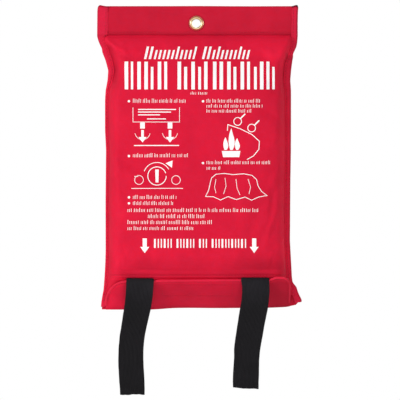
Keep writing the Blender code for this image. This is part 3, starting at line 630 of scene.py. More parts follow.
def body_depth(x, z):
    """Depth of the front cloth's middle surface before the back plane, and its folds."""
    left, right = inner_edges(z)
    side = side_rise(x, z)
    top = rise((121.5 - z) / (41.0 + 3.0 * (x / 90.0)), 1.75)
    fullness = np.clip(soft_min(side, top, 0.10), 0.0, None)
    margin = margin_depth(z)
    vertical = clamp((z + 118.0) / 60.0) ** 0.7 * clamp((100.0 - z) / 60.0) ** 0.8
    off = x + 22.0
    fall = np.where(off < 0, (off / 96.0) ** 2,
                    (off / 118.0) ** 2 + 0.25 * (off / 112.0) ** 5)
    bulge = np.clip((5.4 - 5.4 * fall) * vertical, 0, None)
    low = 0.9 * clamp(1 - ((x + 10.0) / 100.0) ** 2)
    low = low * clamp((-60 - z) / 40) * clamp((z + 121) / 20)
    depth = margin + (FRONT_DEPTH - margin) * fullness + (bulge + low) * side
    folds = sum(stroke_lift(x, z, *crease) for crease in CREASES)
    inset = clamp((x - left) / 6.0) * clamp((right - x) / 6.0)
    fade = clamp((z + 119) / 10.0) * clamp((123 - z) / 8.0)
    ripple = (1.1 * noise_grid(x, z, 58.0, 3.1) + 0.45 * noise_grid(x, z, 24.0, 8.3)
              + 0.12 * noise_grid(x, z, 9.0, 5.7))
    return depth + (folds + ripple * 0.8 * inset) * fade, folds


EDGE_INSET = 0.9       # the cloth stops this far inside the pouch's edge


def columns(z):
    """x of the front cloth's columns: margin, shoulder, middle, shoulder, margin."""
    left, right = inner_edges(z)
    return chain((edge[LEFT](z) + EDGE_INSET, left, left + 20, right - 20, right,
                  edge[RIGHT](z) - EDGE_INSET), (4, 22, 86, 22, 4))


# Rows of the front cloth: down the body, round the mouth's hem, and back up inside.
HEM_OUT, HEM_IN = 3.5, 4.2       # distances of the hem's two layers inward of the flap
HEM_MID, HEM_TURN = (HEM_OUT + HEM_IN) / 2, (HEM_IN - HEM_OUT) / 2
body_z = np.arange(148.6, -112.5, -1.7)
n_body = len(body_z)
body_x = np.array([columns(z) for z in body_z])
body_z_grid = np.repeat(body_z[:, None], body_x.shape[1], axis=1)
depth, folds = body_depth(body_x, body_z_grid)


def hem_rows():
    slope_y, slope_z = slope(35.0, HEM_OUT)
    bend = ((21.6, body_z[-1] - 1.2), (21.9, -119.4), (-slope_y, slope_z))
    path = [(*bezier(*bend, k / 11.0), 1.3) for k in range(12)]     # depth, z, margin
    stations = [(slope(t, HEM_OUT), 1.3) for t in np.arange(33.5, 13.9, -1.6)]
    for k in range(7):
        a = math.pi * k / 6.0
        stations.append((slope(13.6 - HEM_TURN * math.sin(a), HEM_MID - HEM_TURN * math.cos(a)),
                         1.3 - 0.38 * k / 6.0))
    stations += [(slope(t, HEM_IN), 0.92) for t in np.arange(14.4, 36.1, 1.8)]
    path += [(-y, z, margin) for (y, z), margin in stations]
    rows = []
    for depth_here, z, margin in path:
        x = columns(z)
        rows.append(xyz(x, -(margin + (depth_here - margin) * side_rise(x, z)), z))
    return np.array(rows)


front = np.concatenate([xyz(body_x, -depth, body_z_grid), hem_rows()], axis=0)
front_x, front_y, front_z = axes(front)

# The top edge of the hem is sewn down: a raised cord of cloth, then a groove.
inside = clamp((front_x + 88) / 5) * clamp((91 - front_x) / 5)
outer_rows = np.arange(front.shape[0])[:, None] < n_body + 12
ridge = (0.36 * bell(front_z, HEM_RIDGE_Z, 1.0) - 0.55 * bell(front_z, HEM_SEAM_Z, 0.8)
         + 0.10 * bell(front_z, -119.6, 0.9))
front_y -= np.where(outer_rows, ridge * inside, 0.0)


# ----------------------------------------------------------- cloth relaxation
CLOTH_FRAMES = 24
MOST_MOVE = 2.4        # limit of the relaxed cloth's movement


def every_other(count):
    picks = list(range(0, count, 2))
    return picks if picks[-1] == count - 1 else picks + [count - 1]


def blanket_block():
    """The folded blanket as a rounded block for the cloth to rest on."""
    bm = bmesh.new()
    bmesh.ops.create_cube(bm, size=1.0)
    bmesh.ops.scale(bm, vec=(0.150, 0.016, 0.196), verts=bm.verts)
    bmesh.ops.translate(bm, vec=(-0.0008, -0.0112, -0.0150), verts=bm.verts)
    bmesh.ops.bevel(bm, geom=bm.edges[:], offset=0.004, segments=3, affect="EDGES")
    mesh = bpy.data.meshes.new("packet")
    bm.to_mesh(mesh)
    bm.free()
    block = bpy.data.objects.new("packet", mesh)
    scene.collection.objects.link(block)
    block.modifiers.new("Collision", "COLLISION")
    block.collision.thickness_outer = 0.002
    return block


def relax_front(points):
    """Movement of the front cloth as it slackens over the blanket, from Blender's Cloth."""
    picked_rows, picked_cols = every_other(n_body), every_other(points.shape[1])
    coarse = points[np.ix_(picked_rows, picked_cols)]
    rows, cols = coarse.shape[:2]
    mesh = bpy.data.meshes.new("relax")
    mesh.from_pydata((coarse.reshape(-1, 3) * MM).tolist(), [], grid_faces(rows, cols))
    cloth = bpy.data.objects.new("relax", mesh)
    scene.collection.objects.link(cloth)
    # held at the tapes, the header and the hem
    pin = cloth.vertex_groups.new(name="pin")
    x, _, z = axes(coarse)
    left, right = inner_edges(z)
    hold = 1 - clamp(np.minimum((x - left) / 6.0, (right - x) / 6.0))
    hold = np.maximum(hold, clamp((z - 112) / 8))
    hold = np.maximum(hold, clamp((-104 - z) / 8))
    for i, weight in enumerate(hold.reshape(-1)):
        if weight > 0.01:
            pin.add([i], float(weight), "REPLACE")
    block = blanket_block()
    mod = cloth.modifiers.new("Cloth", "CLOTH")
    for key, value in dict(
            quality=6, mass=0.25, tension_stiffness=22, compression_stiffness=14,
            shear_stiffness=8, bending_stiffness=0.9, air_damping=6,
            vertex_group_mass="pin", pin_stiffness=2.0, shrink_min=-0.012,
            use_pressure=True, uniform_pressure_force=0.55).items():
        setattr(mod.settings, key, value)
    mod.settings.effector_weights.gravity = 0.0
    mod.collision_settings.use_collision = True
    mod.collision_settings.distance_min = 0.0015
    mod.point_cache.frame_start, mod.point_cache.frame_end = 1, CLOTH_FRAMES
    scene.frame_start, scene.frame_end = 1, CLOTH_FRAMES
    for f in range(1, CLOTH_FRAMES + 1):
        scene.frame_set(f)
    settled = cloth.evaluated_get(bpy.context.evaluated_depsgraph_get())
    relaxed = np.array([v.co for v in settled.to_mesh().vertices], float)
    move = relaxed.reshape(rows, cols, 3) * 1000.0 - coarse
    settled.to_mesh_clear()
    scene.frame_set(1)
    for obj in (cloth, block):
        data = obj.data
        bpy.data.objects.remove(obj)
        bpy.data.meshes.remove(data)
    move[~np.isfinite(move)] = 0.0
    size = np.linalg.norm(move, axis=2, keepdims=True)
    move *= np.where(size > 1e-9,
                     MOST_MOVE * np.tanh(size / MOST_MOVE) / np.maximum(size, 1e-9), 1.0)
    # back onto the fine rows, smoothly
    row_at = np.interp(np.arange(n_body), picked_rows, np.arange(rows))
    col_at = np.interp(np.arange(points.shape[1]), picked_cols, np.arange(cols))
    j = np.clip(row_at.astype(int), 0, rows - 2)
    i = np.clip(col_at.astype(int), 0, cols - 2)
    down, across = (row_at - j)[:, None, None], (col_at - i)[None, :, None]
    fine = ((move[np.ix_(j, i)] * (1 - across) + move[np.ix_(j, i + 1)] * across) * (1 - down)
            + (move[np.ix_(j + 1, i)] * (1 - across)
               + move[np.ix_(j + 1, i + 1)] * across) * down)
    for _ in range(2):
        even = fine.copy()
        even[1:-1] = (fine[:-2] + 2 * fine[1:-1] + fine[2:]) / 4
        even[:, 1:-1] = (even[:, :-2] + 2 * even[:, 1:-1] + even[:, 2:]) / 4
        fine = even
    return fine


front[:n_body] += relax_front(front)

# Painted shade (negative amount) and painted highlight (positive amount) spots on the front
# cloth: (amount, x, z, half width, half height)
SHADE_SPOTS = [
    (-0.13, -52, -112, 15, 8.5), (-0.20, 70, -112, 27, 12), (0.10, 76, 104, 16, 7),
    (0.10, -76, 106, 12, 7), (0.07, -66, -103, 8, 8), (-0.09, -89, 109, 5, 8),
    (-0.33, 89.4, 100.8, 2.1, 4.0), (-0.27, 87.5, 79.4, 1.9, 5.5),
    (0.12, 84.5, 92.0, 1.8, 4.5), (-0.05, 0, -38, 30, 26),
    (-0.15, -82.2, 86.5, 2.2, 6.5), (-0.12, -86.3, 101.5, 2.2, 4.5)]


def crease_shade(lifts, x, z):
    """Painted shade and light on the front cloth: shade in the hollows and light on the ridges,
    shade along the low band, toward the right and at the lower left, light down the right slope
    and near the top, and the spots.
    """
    tone = 1.0 + np.clip(lifts, -2.0, 1.2) * 0.075
    tone -= 0.10 * smooth(clamp((-96 - z) / 14)) * clamp((x + 78) / 20)
    tone -= 0.06 * clamp((x - 30) / 40) * clamp((85 - z) / 30)
    tone += 0.13 * bell(x, 87, 4.5) * clamp((60 - z) / 30)
    tone += 0.09 * clamp((z - 108) / 5) * (0.5 + 0.5 * clamp((np.abs(x) - 45) / 25))
    tone -= 0.08 * clamp((-80 - x) / 5) * clamp((-88 - z) / 12)
    for amount, *place in SHADE_SPOTS:
        tone += amount * spot(x, z, *place)
    return tone


def front_shade():
    shade = np.ones(front.shape[:2])
    shade[:n_body] = crease_shade(folds, body_x, body_z_grid)
    hem_x = front_x[n_body:]
    # painted shade on the hem: darker overall and toward the right, lighter at the left end
    shade[n_body:] *= 0.88 - 0.14 * bell(hem_x, 70, 30) + 0.12 * clamp((-72 - hem_x) / 10)
    # painted shade in the sewn groove and a little on the cord
    groove, cord = bell(front_z, HEM_SEAM_Z, 0.9), bell(front_z, HEM_RIDGE_Z, 0.9)
    shade *= np.where(outer_rows, 1 - 0.18 * groove * inside - 0.03 * cord * inside, 1.0)
    # a painted highlight line below the seam
    shade *= 1 + (0.80 * bell(front_z, -121.4, 1.2) * inside
                  * np.clip((front_x + 82) / 8, 0.25, 1))
    # painted light on the hem's right end
    shade *= 1 + 0.15 * bell(front_z, -118.0, 3.0) * clamp((front_x - 72) / 6)
    # painted highlight flecks along the seam's left end, where its corner bulge catches light
    highlight_flecks = spot(front_x, front_z, -80, -118, 5, 3)
    shade *= 1 + 0.12 * highlight_flecks * (noise_grid(front_x, front_z, 2.4, 11.0) > 0.02)
    return shade


pouch_front = sheet("pouch_front", front, CLOTH, RED_CLOTH, shade=front_shade(),
                    keep=around_eyelet(front, EYELET_HOLE))
register(pouch_front, "red_fabric", "pouch", "front_panel", "front_hem")

front_bvh = BVHTree.FromPolygons([Vector(p) for p in front[:n_body + 10].reshape(-1, 3)],
                                 grid_faces(n_body + 10, front.shape[1]))


# ----------------------------------------------------------------- back sheet
def pouch_back():
    rows = []
    for z in np.concatenate([np.arange(148.9, 124.0, -3.0), np.arange(124.0, -149.0, -2.6),
                             [-149.3, -150.3]]):
        x = np.linspace(edge[LEFT](z) + EDGE_INSET, edge[RIGHT](z) - EDGE_INSET, 74)
        rows.append(xyz(x, FOLD_Y - 0.9 * clamp((z - 118) / 4.0),
                        z + fold_wave(x) * clamp((-120 - z) / 30.0) ** 2))
    back = np.array(rows)
    x, y, z = axes(back)
    relief = noise_grid(x, z, 46.0, 21.0) * 0.5 + noise_grid(x, z, 17.0, 31.0) * 0.16
    fade = (clamp((x - edge[LEFT](z) - 8) / 14) * clamp((edge[RIGHT](z) - 8 - x) / 14)
            * clamp((118 - z) / 10) * clamp((z + 148) / 10))
    y += relief * fade - 0.15 * fade
    # darker in the hollows of the relief: painted shade
    obj = sheet("pouch_back", back, CLOTH, RED_BACK, keep=around_eyelet(back, 4.9),
                shade=1 - 0.05 * clamp(-relief * fade))
    register(obj, "red_fabric", "pouch", "back_panel")


pouch_back()


# --------------------------------------------------------------------- header
def header_cover():
    """Cloth folded over the top: up the back, round, and down the front."""
    back_y, front_y_, turn_z = -0.3, -3.0, 149.8
    turn = (back_y - front_y_) / 2
    profile = [(back_y, z) for z in np.arange(122.6, 147.5, 0.8)]
    for k in range(11):
        a = math.pi * k / 10.0
        profile.append((back_y - turn + turn * math.cos(a), turn_z + turn * math.sin(a)))
    profile += [(front_y_, z) for z in np.arange(147.4, 121.9, -0.8)]
    profile = np.array(profile)
    across = chain((-99.4, -10, 8, 99.5), (64, 40, 64))
    points = xyz(across[None, :], profile[:, 0:1], profile[:, 1:2])
    x, y, z = axes(points)
    is_front = y < -2.0
    off_eyelet = 1 - np.exp(-(np.hypot(x - EYELET_X, z - EYELET_Z) / 11.0) ** 4)
    wave = 0.55 * noise_grid(x, z, 44.0, 2.2) + 0.22 * noise_grid(x, z, 15.0, 6.6)
    y -= np.where(is_front, np.clip(0.25 + wave, -0.1, 1.2) * off_eyelet
                  * clamp((148 - z) / 5) * clamp((99 - abs(x)) / 10), 0.0)
    # the sewn groove and the free lower lip
    y += np.where(is_front, 0.35 * bell(z, HEADER_SEAM_Z, 1.0), 0.0)
    y -= np.where(is_front, 0.45 * bell(z, 122.4, 1.0), 0.0)
    z += 0.30 * noise_grid(x, z * 0, 40.0, 4.0) * clamp((z - 140) / 8)
    eyelet_distance = np.hypot(x - EYELET_X, z - EYELET_Z)
    # painted shade: a dark ring round the eyelet, a shadow under the lower lip and a dark line
    # by the left tape; a painted highlight along the top fold; the noise is random tone
    shade = (1 + 0.05 * noise_grid(x, z, 30.0, 61.0) - 0.32 * bell(eyelet_distance, 7.7, 0.8)
             + 0.045 * noise_grid(x, z * 0.3, 11.0, 71.0))
    shade *= np.where(is_front, 1 - 0.16 * bell(z, 123.2, 2.0) - 0.03 * bell(x, -88.6, 1.6)
                      + 0.06 * bell(z, 149.0, 1.5), 1.0)
    obj = sheet("header_cover", points, 0.6, RED_HEADER, shade=shade,
                keep=around_eyelet(points, EYELET_HOLE))
    register(obj, "red_fabric", "pouch", "header_band")


header_cover()

# -------------------------------------------------------------- side bindings
# y of the tape's inner face on the front: (z, y)
front_face = curve([(153, -3.62), (122.5, -3.62), (117, -2.6), (110, -1.95),
                    (-152, -1.85)], 2.0)
BACK_FACE = 0.34
TAPE_THICK = 0.5
EDGE_ROUND = 1.5       # the tape bends over the edge within this distance of it
BACK_LEG = 7.0


def tape_ring(z, side):
    """Cross section of a tape as (distance in from the edge, y): outer, then inner."""
    width = float(tape[side](z)) + 0.30 * noise_at(0, 0, z, 9.0, 4.0 + side)
    y_front = float(front_face(z))
    y_back = BACK_FACE + 0.10 * noise_at(3, 0, z, 14.0, 9.0)
    pucker = 0.07 * math.sin(2 * math.pi * z / 6.0)
    mid_y, half_y = (y_front + y_back) / 2.0, (y_back - y_front) / 2.0
    seam = width - min(1.9, width * 0.5)
    outer, inner = [], []
    for k in range(9):                 # front leg, from its inner end to the edge
        f = k / 8.0
        inset = width + (EDGE_ROUND - width) * f
        swell = 0.16 * math.sin(math.pi * f) + 0.05 * math.sin(math.pi * f * 3)
        y = y_front - swell + 0.22 * bell(inset, seam, 0.7) + pucker
        inner.append((inset, y))
        outer.append((inset - (0.0 if k else 0.05), y - TAPE_THICK))
    for k in range(1, 8):              # round the edge
        a = math.pi * k / 8.0
        inner.append((EDGE_ROUND - (EDGE_ROUND - TAPE_THICK - 0.35) * math.sin(a),
                      mid_y - half_y * math.cos(a)))
        outer.append((EDGE_ROUND - (EDGE_ROUND - 0.02) * math.sin(a),
                      mid_y - (half_y + TAPE_THICK) * math.cos(a)))
    for k in range(7):                 # back leg
        inset = EDGE_ROUND + (BACK_LEG - EDGE_ROUND) * k / 6.0
        y = y_back + 0.03 * math.sin(3 * k) + pucker * 0.4
        inner.append((inset, y))
        outer.append((inset, y + TAPE_THICK))
    return outer, inner


def side_binding(tag, side, z_top, z_bottom, corner_x, corner_run, base_tone, top_dark,
                 rim_tone, bands):
    """Tape folded over a side edge.

    corner_x, corner_run: where the cut top end begins to stand up, and over what width
    rim_tone: painted highlight and shade on the folded edge, as (low down, change toward the
    top)
    bands: bands of painted shade and highlight, as (amount, z, half height)
    top_dark: how much painted shade darkens the cut top end
    """
    rings, shades = [], []
    for z in np.arange(z_top, z_bottom, -1.2):
        edge_x = float(edge[side](z)) * side
        outer, inner = tape_ring(z, side)
        rings.append([(side * (edge_x - inset), y, z) for inset, y in outer + inner[::-1]])
        # painted light and shade: the folded edge's rim tone, the darker cut top end, the tone
        # bands, a darker inner edge of the front leg and darker inner faces
        rim = rim_tone[0] + rim_tone[1] * clamp((z - 112.0) / 8.0)
        tone = base_tone * (1 - top_dark * clamp((z - z_top + 2.6) / 1.2))
        tone *= 1 + sum(amount * bell(z, at, half) for amount, at, half in bands)
        shades.append([tone + (rim if 8 <= i <= 16 else 0.0) - (0.05 if i in (0, 1) else 0.0)
                       for i in range(len(outer))] + [0.9] * len(inner))
    rings = np.array(rings)
    x, _, z = axes(rings)
    # the tape's cut ends are not quite square
    z += clamp((z - (z_top - 5.0)) / 5.0) * (
        -1.6 + 1.6 * clamp((np.abs(x) - corner_x) / corner_run))
    if side == RIGHT:
        z += clamp((-z - 138) / 9.0) * (1.0 - clamp((x - 95) / 9.0)) * -1.5
    obj = ring_loft(f"{tag}_binding", rings, RED_TAPE, shades)
    register(obj, "red_binding", "pouch", f"{tag}_side_binding")


# painted shade: the left tape's shadow line under the header; the right tape's highlight at the
# notch and shade below it
side_binding("left", LEFT, z_top=152.2, z_bottom=-151.0, corner_x=89.0, corner_run=8.0,
             base_tone=1.0, top_dark=0.42, rim_tone=(0.05, -0.17),
             bands=[(-0.12, 122.0, 1.5)])
side_binding("right", RIGHT, z_top=152.3, z_bottom=-146.2, corner_x=93.5, corner_run=5.0,
             base_tone=0.99, top_dark=0.80, rim_tone=(-0.22, 0.0),
             bands=[(0.22, 103.5, 1.8), (-0.12, 99.0, 2.0)])


# ------------------------------------------------------------------- stitches
def stitches(name, line, outward, color, rides, *replaced, length=2.5, pitch=3.1,
             radius=0.24):
    """Single stitches along a line; `outward` is one direction or one for each point."""
    sections, count = 7, 7
    line = np.array(line, float)
    outward = np.broadcast_to(np.array(outward, float), line.shape)
    run = np.concatenate([[0], np.cumsum(np.linalg.norm(np.diff(line, axis=0), axis=1))])
    rng = random.Random(5)
    points, faces = [], []
    middle = pitch * 0.5
    while middle + length / 2 < run[-1]:
        half = length / 2 * rng.uniform(0.92, 1.03)
        centre = []
        for k in range(sections):
            f = -1 + 2 * k / (sections - 1)
            q = np.clip(middle + f * half, 0, run[-1])
            p = np.array([np.interp(q, run, line[:, i]) for i in range(3)])
            out = np.array([np.interp(q, run, outward[:, i]) for i in range(3)])
            centre.append((p, out / np.linalg.norm(out), f))
        direction = centre[-1][0] - centre[0][0]
        direction /= max(np.linalg.norm(direction), 1e-9)
        skew = rng.uniform(-0.05, 0.05)
        faces += closed_tube(len(points), sections, count)
        for p, out, f in centre:
            across = np.cross(direction, out)
            r = radius * max(0.25, math.sqrt(max(0.0, 1 - (abs(f) ** 2.6))))
            lift = radius * 0.9 - 0.34 * abs(f) ** 3
            for m in range(count):
                a = 2 * math.pi * m / count
                points.append(p + out * (lift + r * math.sin(a))
                              + across * (r * math.cos(a) + skew * f))
        middle += pitch
    obj = make(name, points, faces, THREADS[color], sharp_angle=180)
    register(obj, f"{color}_thread", rides, *replaced)


TO_FRONT, TO_BACK = (0, -1, 0), (0, 1, 0)

for side, tag, low in ((LEFT, "left", -148.0), (RIGHT, "right", -144.0)):
    z = np.arange(148.5, low, -1.5)
    width = tape[side](z)
    inset = width - np.minimum(1.9, width * 0.5)
    stitches(f"{tag}_side_stitches",
             xyz(edge[side](z) - side * inset, front_face(z) - TAPE_THICK + 0.08, z),
             TO_FRONT, "red", "pouch", f"{tag}_side_stitching")
    stitches(f"{tag}_side_stitches_back",
             xyz(edge[side](z) - side * 5.0, BACK_FACE + TAPE_THICK + 0.02, z),
             TO_BACK, "red", "pouch")

stitches("header_stitches", xyz(np.linspace(-88.5, 93.0, 60), -3.0, HEADER_SEAM_Z),
         TO_FRONT, "red", "pouch", "header_stitching")
stitches("header_stitches_back", xyz(np.linspace(-91.5, 91.5, 60), 0.0, HEADER_SEAM_Z),
         TO_BACK, "red", "pouch")


def hem_stitches():
    line, outward = [], []
    for x in np.linspace(-86.5, 89.5, 90):
        hit, normal, _, _ = front_bvh.ray_cast(Vector((x, -60.0, HEM_SEAM_Z)),
                                               Vector((0, 1, 0)))
        if hit is None:
            continue
        if normal.y > 0:
            normal = -normal
        line.append(tuple(hit + normal * 0.3))
        outward.append(tuple(normal))
    stitches("hem_stitches", line, outward, "red", "pouch", "hem_stitching", radius=0.2)


hem_stitches()


# --------------------------------------------------------------------- eyelet
def lathe(name, profile, replaced, count=96):
    """A closed ring turned about the eyelet's axis; profile is (radius, y)."""
    n = len(profile)
    points, faces = [], []
    for k in range(count):
        a = 2 * math.pi * k / count
        for r, y in profile:
            points.append((EYELET_X + r * math.cos(a), y, EYELET_Z + r * math.sin(a)))
    for k in range(count):
        after = (k + 1) % count
        for i in range(n):
            j = (i + 1) % n
            faces.append((k * n + i, k * n + j, after * n + j, after * n + i))
    register(make(name, points, faces, BRASS), "eyelet_brass", "pouch", replaced)


eyelet = [(4.30, 1.0), (4.28, -3.3), (4.36, -3.9)]
for k in range(9):                     # rolled lip on the front
    a = math.pi - math.pi * 0.86 * k / 8.0
    eyelet.append((5.45 + 1.05 * math.cos(a), -4.15 - 0.95 * math.sin(a)))
eyelet += [(6.65, -4.12), (7.05, -3.78), (7.32, -3.52), (7.30, -3.40), (6.9, -3.38),
           (4.9, -3.38), (4.80, -3.2), (4.80, 0.85)]
for k in range(6):                     # lip turned over at the back
    a = math.pi * 0.1 + math.pi * 0.9 * k / 5.0
    eyelet.append((5.05 + 0.62 * math.cos(a), 1.0 + 0.58 * math.sin(a)))
lathe("eyelet_ring", eyelet, "eyelet")
lathe("washer_ring", [(5.75, 0.22), (5.75, 0.70), (6.0, 0.92), (6.5, 0.94), (6.85, 0.78),
                      (7.0, 0.45), (6.95, 0.22)], "eyelet_washer")

# ----------------------------------------------------------------------- flap
FLAP_T = 35.4                          # length of the flap up its slope
FLAP_L, FLAP_R = -92.0, 92.5
CORNER_L_X, CORNER_L_T = 22.0, 29.0    # the rounded corners' half axes
CORNER_R = 9.5
LEFT_DROP = 0.85                       # the flap's left end is folded a little lower


def flap_top(x):
    """Length of the flap at x: square, with rounded upper corners."""
    left = clamp((FLAP_L + CORNER_L_X - x) / CORNER_L_X)
    right = clamp((x - FLAP_R + CORNER_R) / CORNER_R)
    wave = (0.3 * np.sin(x / 31.0) + 3.36 * smooth(clamp((x - 71.0) / 7.5))
            - LEFT_DROP * smooth(clamp((-36.0 - x) / 8.0)))
    return (FLAP_T + wave - CORNER_L_T * (1 - np.sqrt(1 - left ** 2))
            - CORNER_R * (1 - np.sqrt(1 - right ** 2)))


def flap_point(x, t, inward):
    """(y, z) on the flap, which bulges outward from its plane."""
    arch = np.sin(np.pi * clamp(t / FLAP_T))
    ripple = 1 + 0.25 * np.sin(x / 19.0 + 1.0) + 0.18 * np.sin(x / 8.3 + 0.4)
    ends = clamp((x - FLAP_L) / 8) * clamp((FLAP_R - x) / 8)
    y, z = slope(t, inward - 0.95 * arch * ripple * (0.35 + 0.65 * ends))
    return y, z + fold_wave(x) * clamp(1 - t / 26.0) ** 2


flap_x = chain((FLAP_L, FLAP_L + 3, FLAP_L + 18, FLAP_R - 13, FLAP_R - 3, FLAP_R),
               (8, 13, 91, 9, 9))


def flap_sheet():
    rows = 30
    top = flap_top(flap_x)[None, :]
    t = np.linspace(0, 1, rows)[:, None] * top
    x = np.repeat(flap_x[None, :], rows, axis=0)
    # painted shade toward the fold, in a line under the rim and toward the right end; painted
    # light at the left end and in a band under the rim; the noise is random tone
    shade = 1 - 0.05 * bell(t, 31, 1.5) - 0.14 * clamp(1 - t / 5.0)
    shade *= 0.84 + 0.36 * clamp((-68 - x) / 9) - 0.19 * clamp((x - 66) / 12)
    shade *= 1 + 0.07 * noise_grid(x, t, 16.0, 40.0)
    shade *= 1 + 0.135 * clamp((t - top + 5.6) / 1.4)
    obj = sheet("flap_sheet", xyz(x, *flap_point(x, t, 0.0)), CLOTH, RED_FLAP, shade=shade)
    register(obj, "red_fabric", None, "closure_flap")
    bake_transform(obj)


def flap_rim():
    """Tape folded over the flap's free edge, and its outer stitches."""
    path = [(FLAP_L, t) for t in np.linspace(5.0, flap_top(FLAP_L) - 0.01, 8)]
    path += [(x, flap_top(x)) for x in flap_x[1:-1]]
    path += [(FLAP_R, t) for t in np.linspace(flap_top(FLAP_R) - 0.01, 5.0, 10)]
    path = np.array(path, float)
    # even steps along the edge
    run = np.concatenate([[0], np.cumsum(np.linalg.norm(np.diff(path, axis=0), axis=1))])
    steps = np.linspace(0, run[-1], 210)
    path = np.stack([np.interp(steps, run, path[:, i]) for i in range(2)], axis=1)
    for _ in range(2):
        path[1:-1] = (path[:-2] + 2 * path[1:-1] + path[2:]) / 4
    along = np.gradient(path, axis=0)
    along /= np.linalg.norm(along, axis=1, keepdims=True)
    outward = np.stack([-along[:, 1], along[:, 0]], axis=1)
    near, far = 0.42, 0.82             # inner and outer faces of the tape from the middle
    rings = []
    for step, (x, t), (out_x, out_t) in zip(steps, path, outward):
        w = 1.35 + 0.12 * noise_at(step, 0, 0, 7.0, 2.0)
        profile = [(-w, -near), (-w + 0.05, -far), (-0.35, -far - 0.03)]
        for m in range(1, 6):
            a = -math.pi / 2 + math.pi * m / 6.0
            profile.append((-0.1 + 0.75 * math.cos(a), far * math.sin(a)))
        profile += [(-0.35, far + 0.03), (-w + 0.05, far), (-w, near)]
        for m in range(1, 4):
            a = math.pi / 2 - math.pi * m / 4.0
            profile.append((-0.15 + 0.32 * math.cos(a), near * math.sin(a)))
        off, inward = np.array(profile).T
        ring_x = x + out_x * off
        rings.append(xyz(ring_x, *flap_point(ring_x, t + out_t * off, inward)))
    rings = np.array(rings)
    # painted shade on the rim's right end
    shade = np.ones(rings.shape[:2]) * (1 - 0.26 * clamp((path[:, 0] - 86) / 5.0))[:, None]
    register(ring_loft("flap_rim", rings, RED_RIM, shade), "red_binding", "flap",
             "flap_binding")
    x, t = (path - outward * 2.1)[4:-4].T
    stitches("flap_rim_stitches", xyz(x, *flap_point(x, t, -0.30)), FLAP_OUT, "red", "flap",
             radius=0.16, length=2.0, pitch=2.7)


flap_sheet()
flap_rim()

# ---------------------------------------------------- hook and loop fastening
STRIP_X, STRIP_T = 36, (15.0, 31.0)    # half width, and reach up the slope


def hem_point(x, t, inward):
    """(y, z) on the hem's plane, called as flap_point is."""
    return slope(t, inward)


def strip_sheet(name, place, inward, thick, mat, cols, rows):
    x, t = np.meshgrid(np.linspace(-STRIP_X, STRIP_X, cols), np.linspace(*STRIP_T, rows))
    return sheet(name, xyz(x, *place(x, t, inward)), thick, mat, angle=50)


def strip_stitches(tag, rides, place, inward, inset):
    """A rectangle of stitches, `inset` within the strip on every side."""
    half, t0, t1 = STRIP_X - inset, STRIP_T[0] + inset, STRIP_T[1] - inset
    across, up = np.linspace(-half, half, 60), np.linspace(t0, t1, 12)
    path = ([(x, t0) for x in across] + [(half, t) for t in up]
            + [(x, t1) for x in across[::-1]] + [(-half, t) for t in up[::-1]])
    x, t = np.array(path).T
    stitches(f"{tag}_strip_stitches", xyz(x, *place(x, t, inward)), FLAP_OUT, "red", rides,
             f"{tag}_strip_stitching", radius=0.17, length=2.2, pitch=2.9)


def hooks():
    path = [(0, 0.78), (0, 1.15), (0.12, 1.38), (0.36, 1.42), (0.5, 1.24)]  # (x, inward)
    corners = ((-1, -1), (1, -1), (1, 1), (-1, 1))
    half = 0.11
    points, faces = [], []
    rng = random.Random(21)
    for i, x in enumerate(np.arange(-34.6, 34.7, 1.5)):
        for j, t in enumerate(np.arange(16.4, 29.8, 1.3)):
            root_x = x + (0.7 if j % 2 else 0.0) + rng.uniform(-0.1, 0.1)
            root_t = t + rng.uniform(-0.1, 0.1)
            lean = 1 if i % 2 else -1
            faces += closed_tube(len(points), len(path), 4)
            for k, (reach, inward) in enumerate(path):
                centre = root_x + lean * reach
                for sx, st in corners:
                    y, z = flap_point(centre + sx * half, root_t + st * half, inward)
                    points.append((centre + sx * half * (1 if k < 2 else 0.8), y, z))
    obj = make("hook_strip_hooks", points, faces, HOOK_TAPE,
               {"wv": np.zeros((len(points), 3)), "shade": np.full(len(points), 1.25)}, 180)
    register(obj, "hook_tape", "flap")


def loop_strip():
    obj = strip_sheet("loop_strip_pile", hem_point, 2.72, 0.7, LOOP_PILE, cols=110, rows=26)
    # the pile: raised tufts over the tape
    for v in obj.data.vertices:
        lift = 0.00022 * noise.noise(v.co * 900.0)
        v.co.y += -COS_LEAN * lift
        v.co.z += -SIN_LEAN * lift
    register(obj, "loop_pile", "pouch", "loop_strip")


register(strip_sheet("hook_strip_tape", flap_point, 0.62, 0.45, HOOK_TAPE, cols=70, rows=16),
         "hook_tape", "flap", "hook_strip")
hooks()
strip_stitches("hook", "flap", flap_point, inward=-0.30, inset=1.2)
loop_strip()
strip_stitches("loop", "pouch", hem_point, inward=2.32, inset=1.1)

# ---------------------------------------------------------------- pull straps
RIM_T = FLAP_T + 0.25                  # where a strap turns over the flap's rim
RIM_TURN = 1.75                        # radius of that turn
LEG_IN, INNER_IN = 1.75, 5.3           # distances of the strap's legs inward of the flap
SEWN_Y, SEWN_TOP = -19.5, -82.0        # the sewn root on the blanket
MOUTH_T = 12.7                         # where the strap turns below the hem
WEB_HALF = 0.6                         # half thickness
WEB_COLS = 22

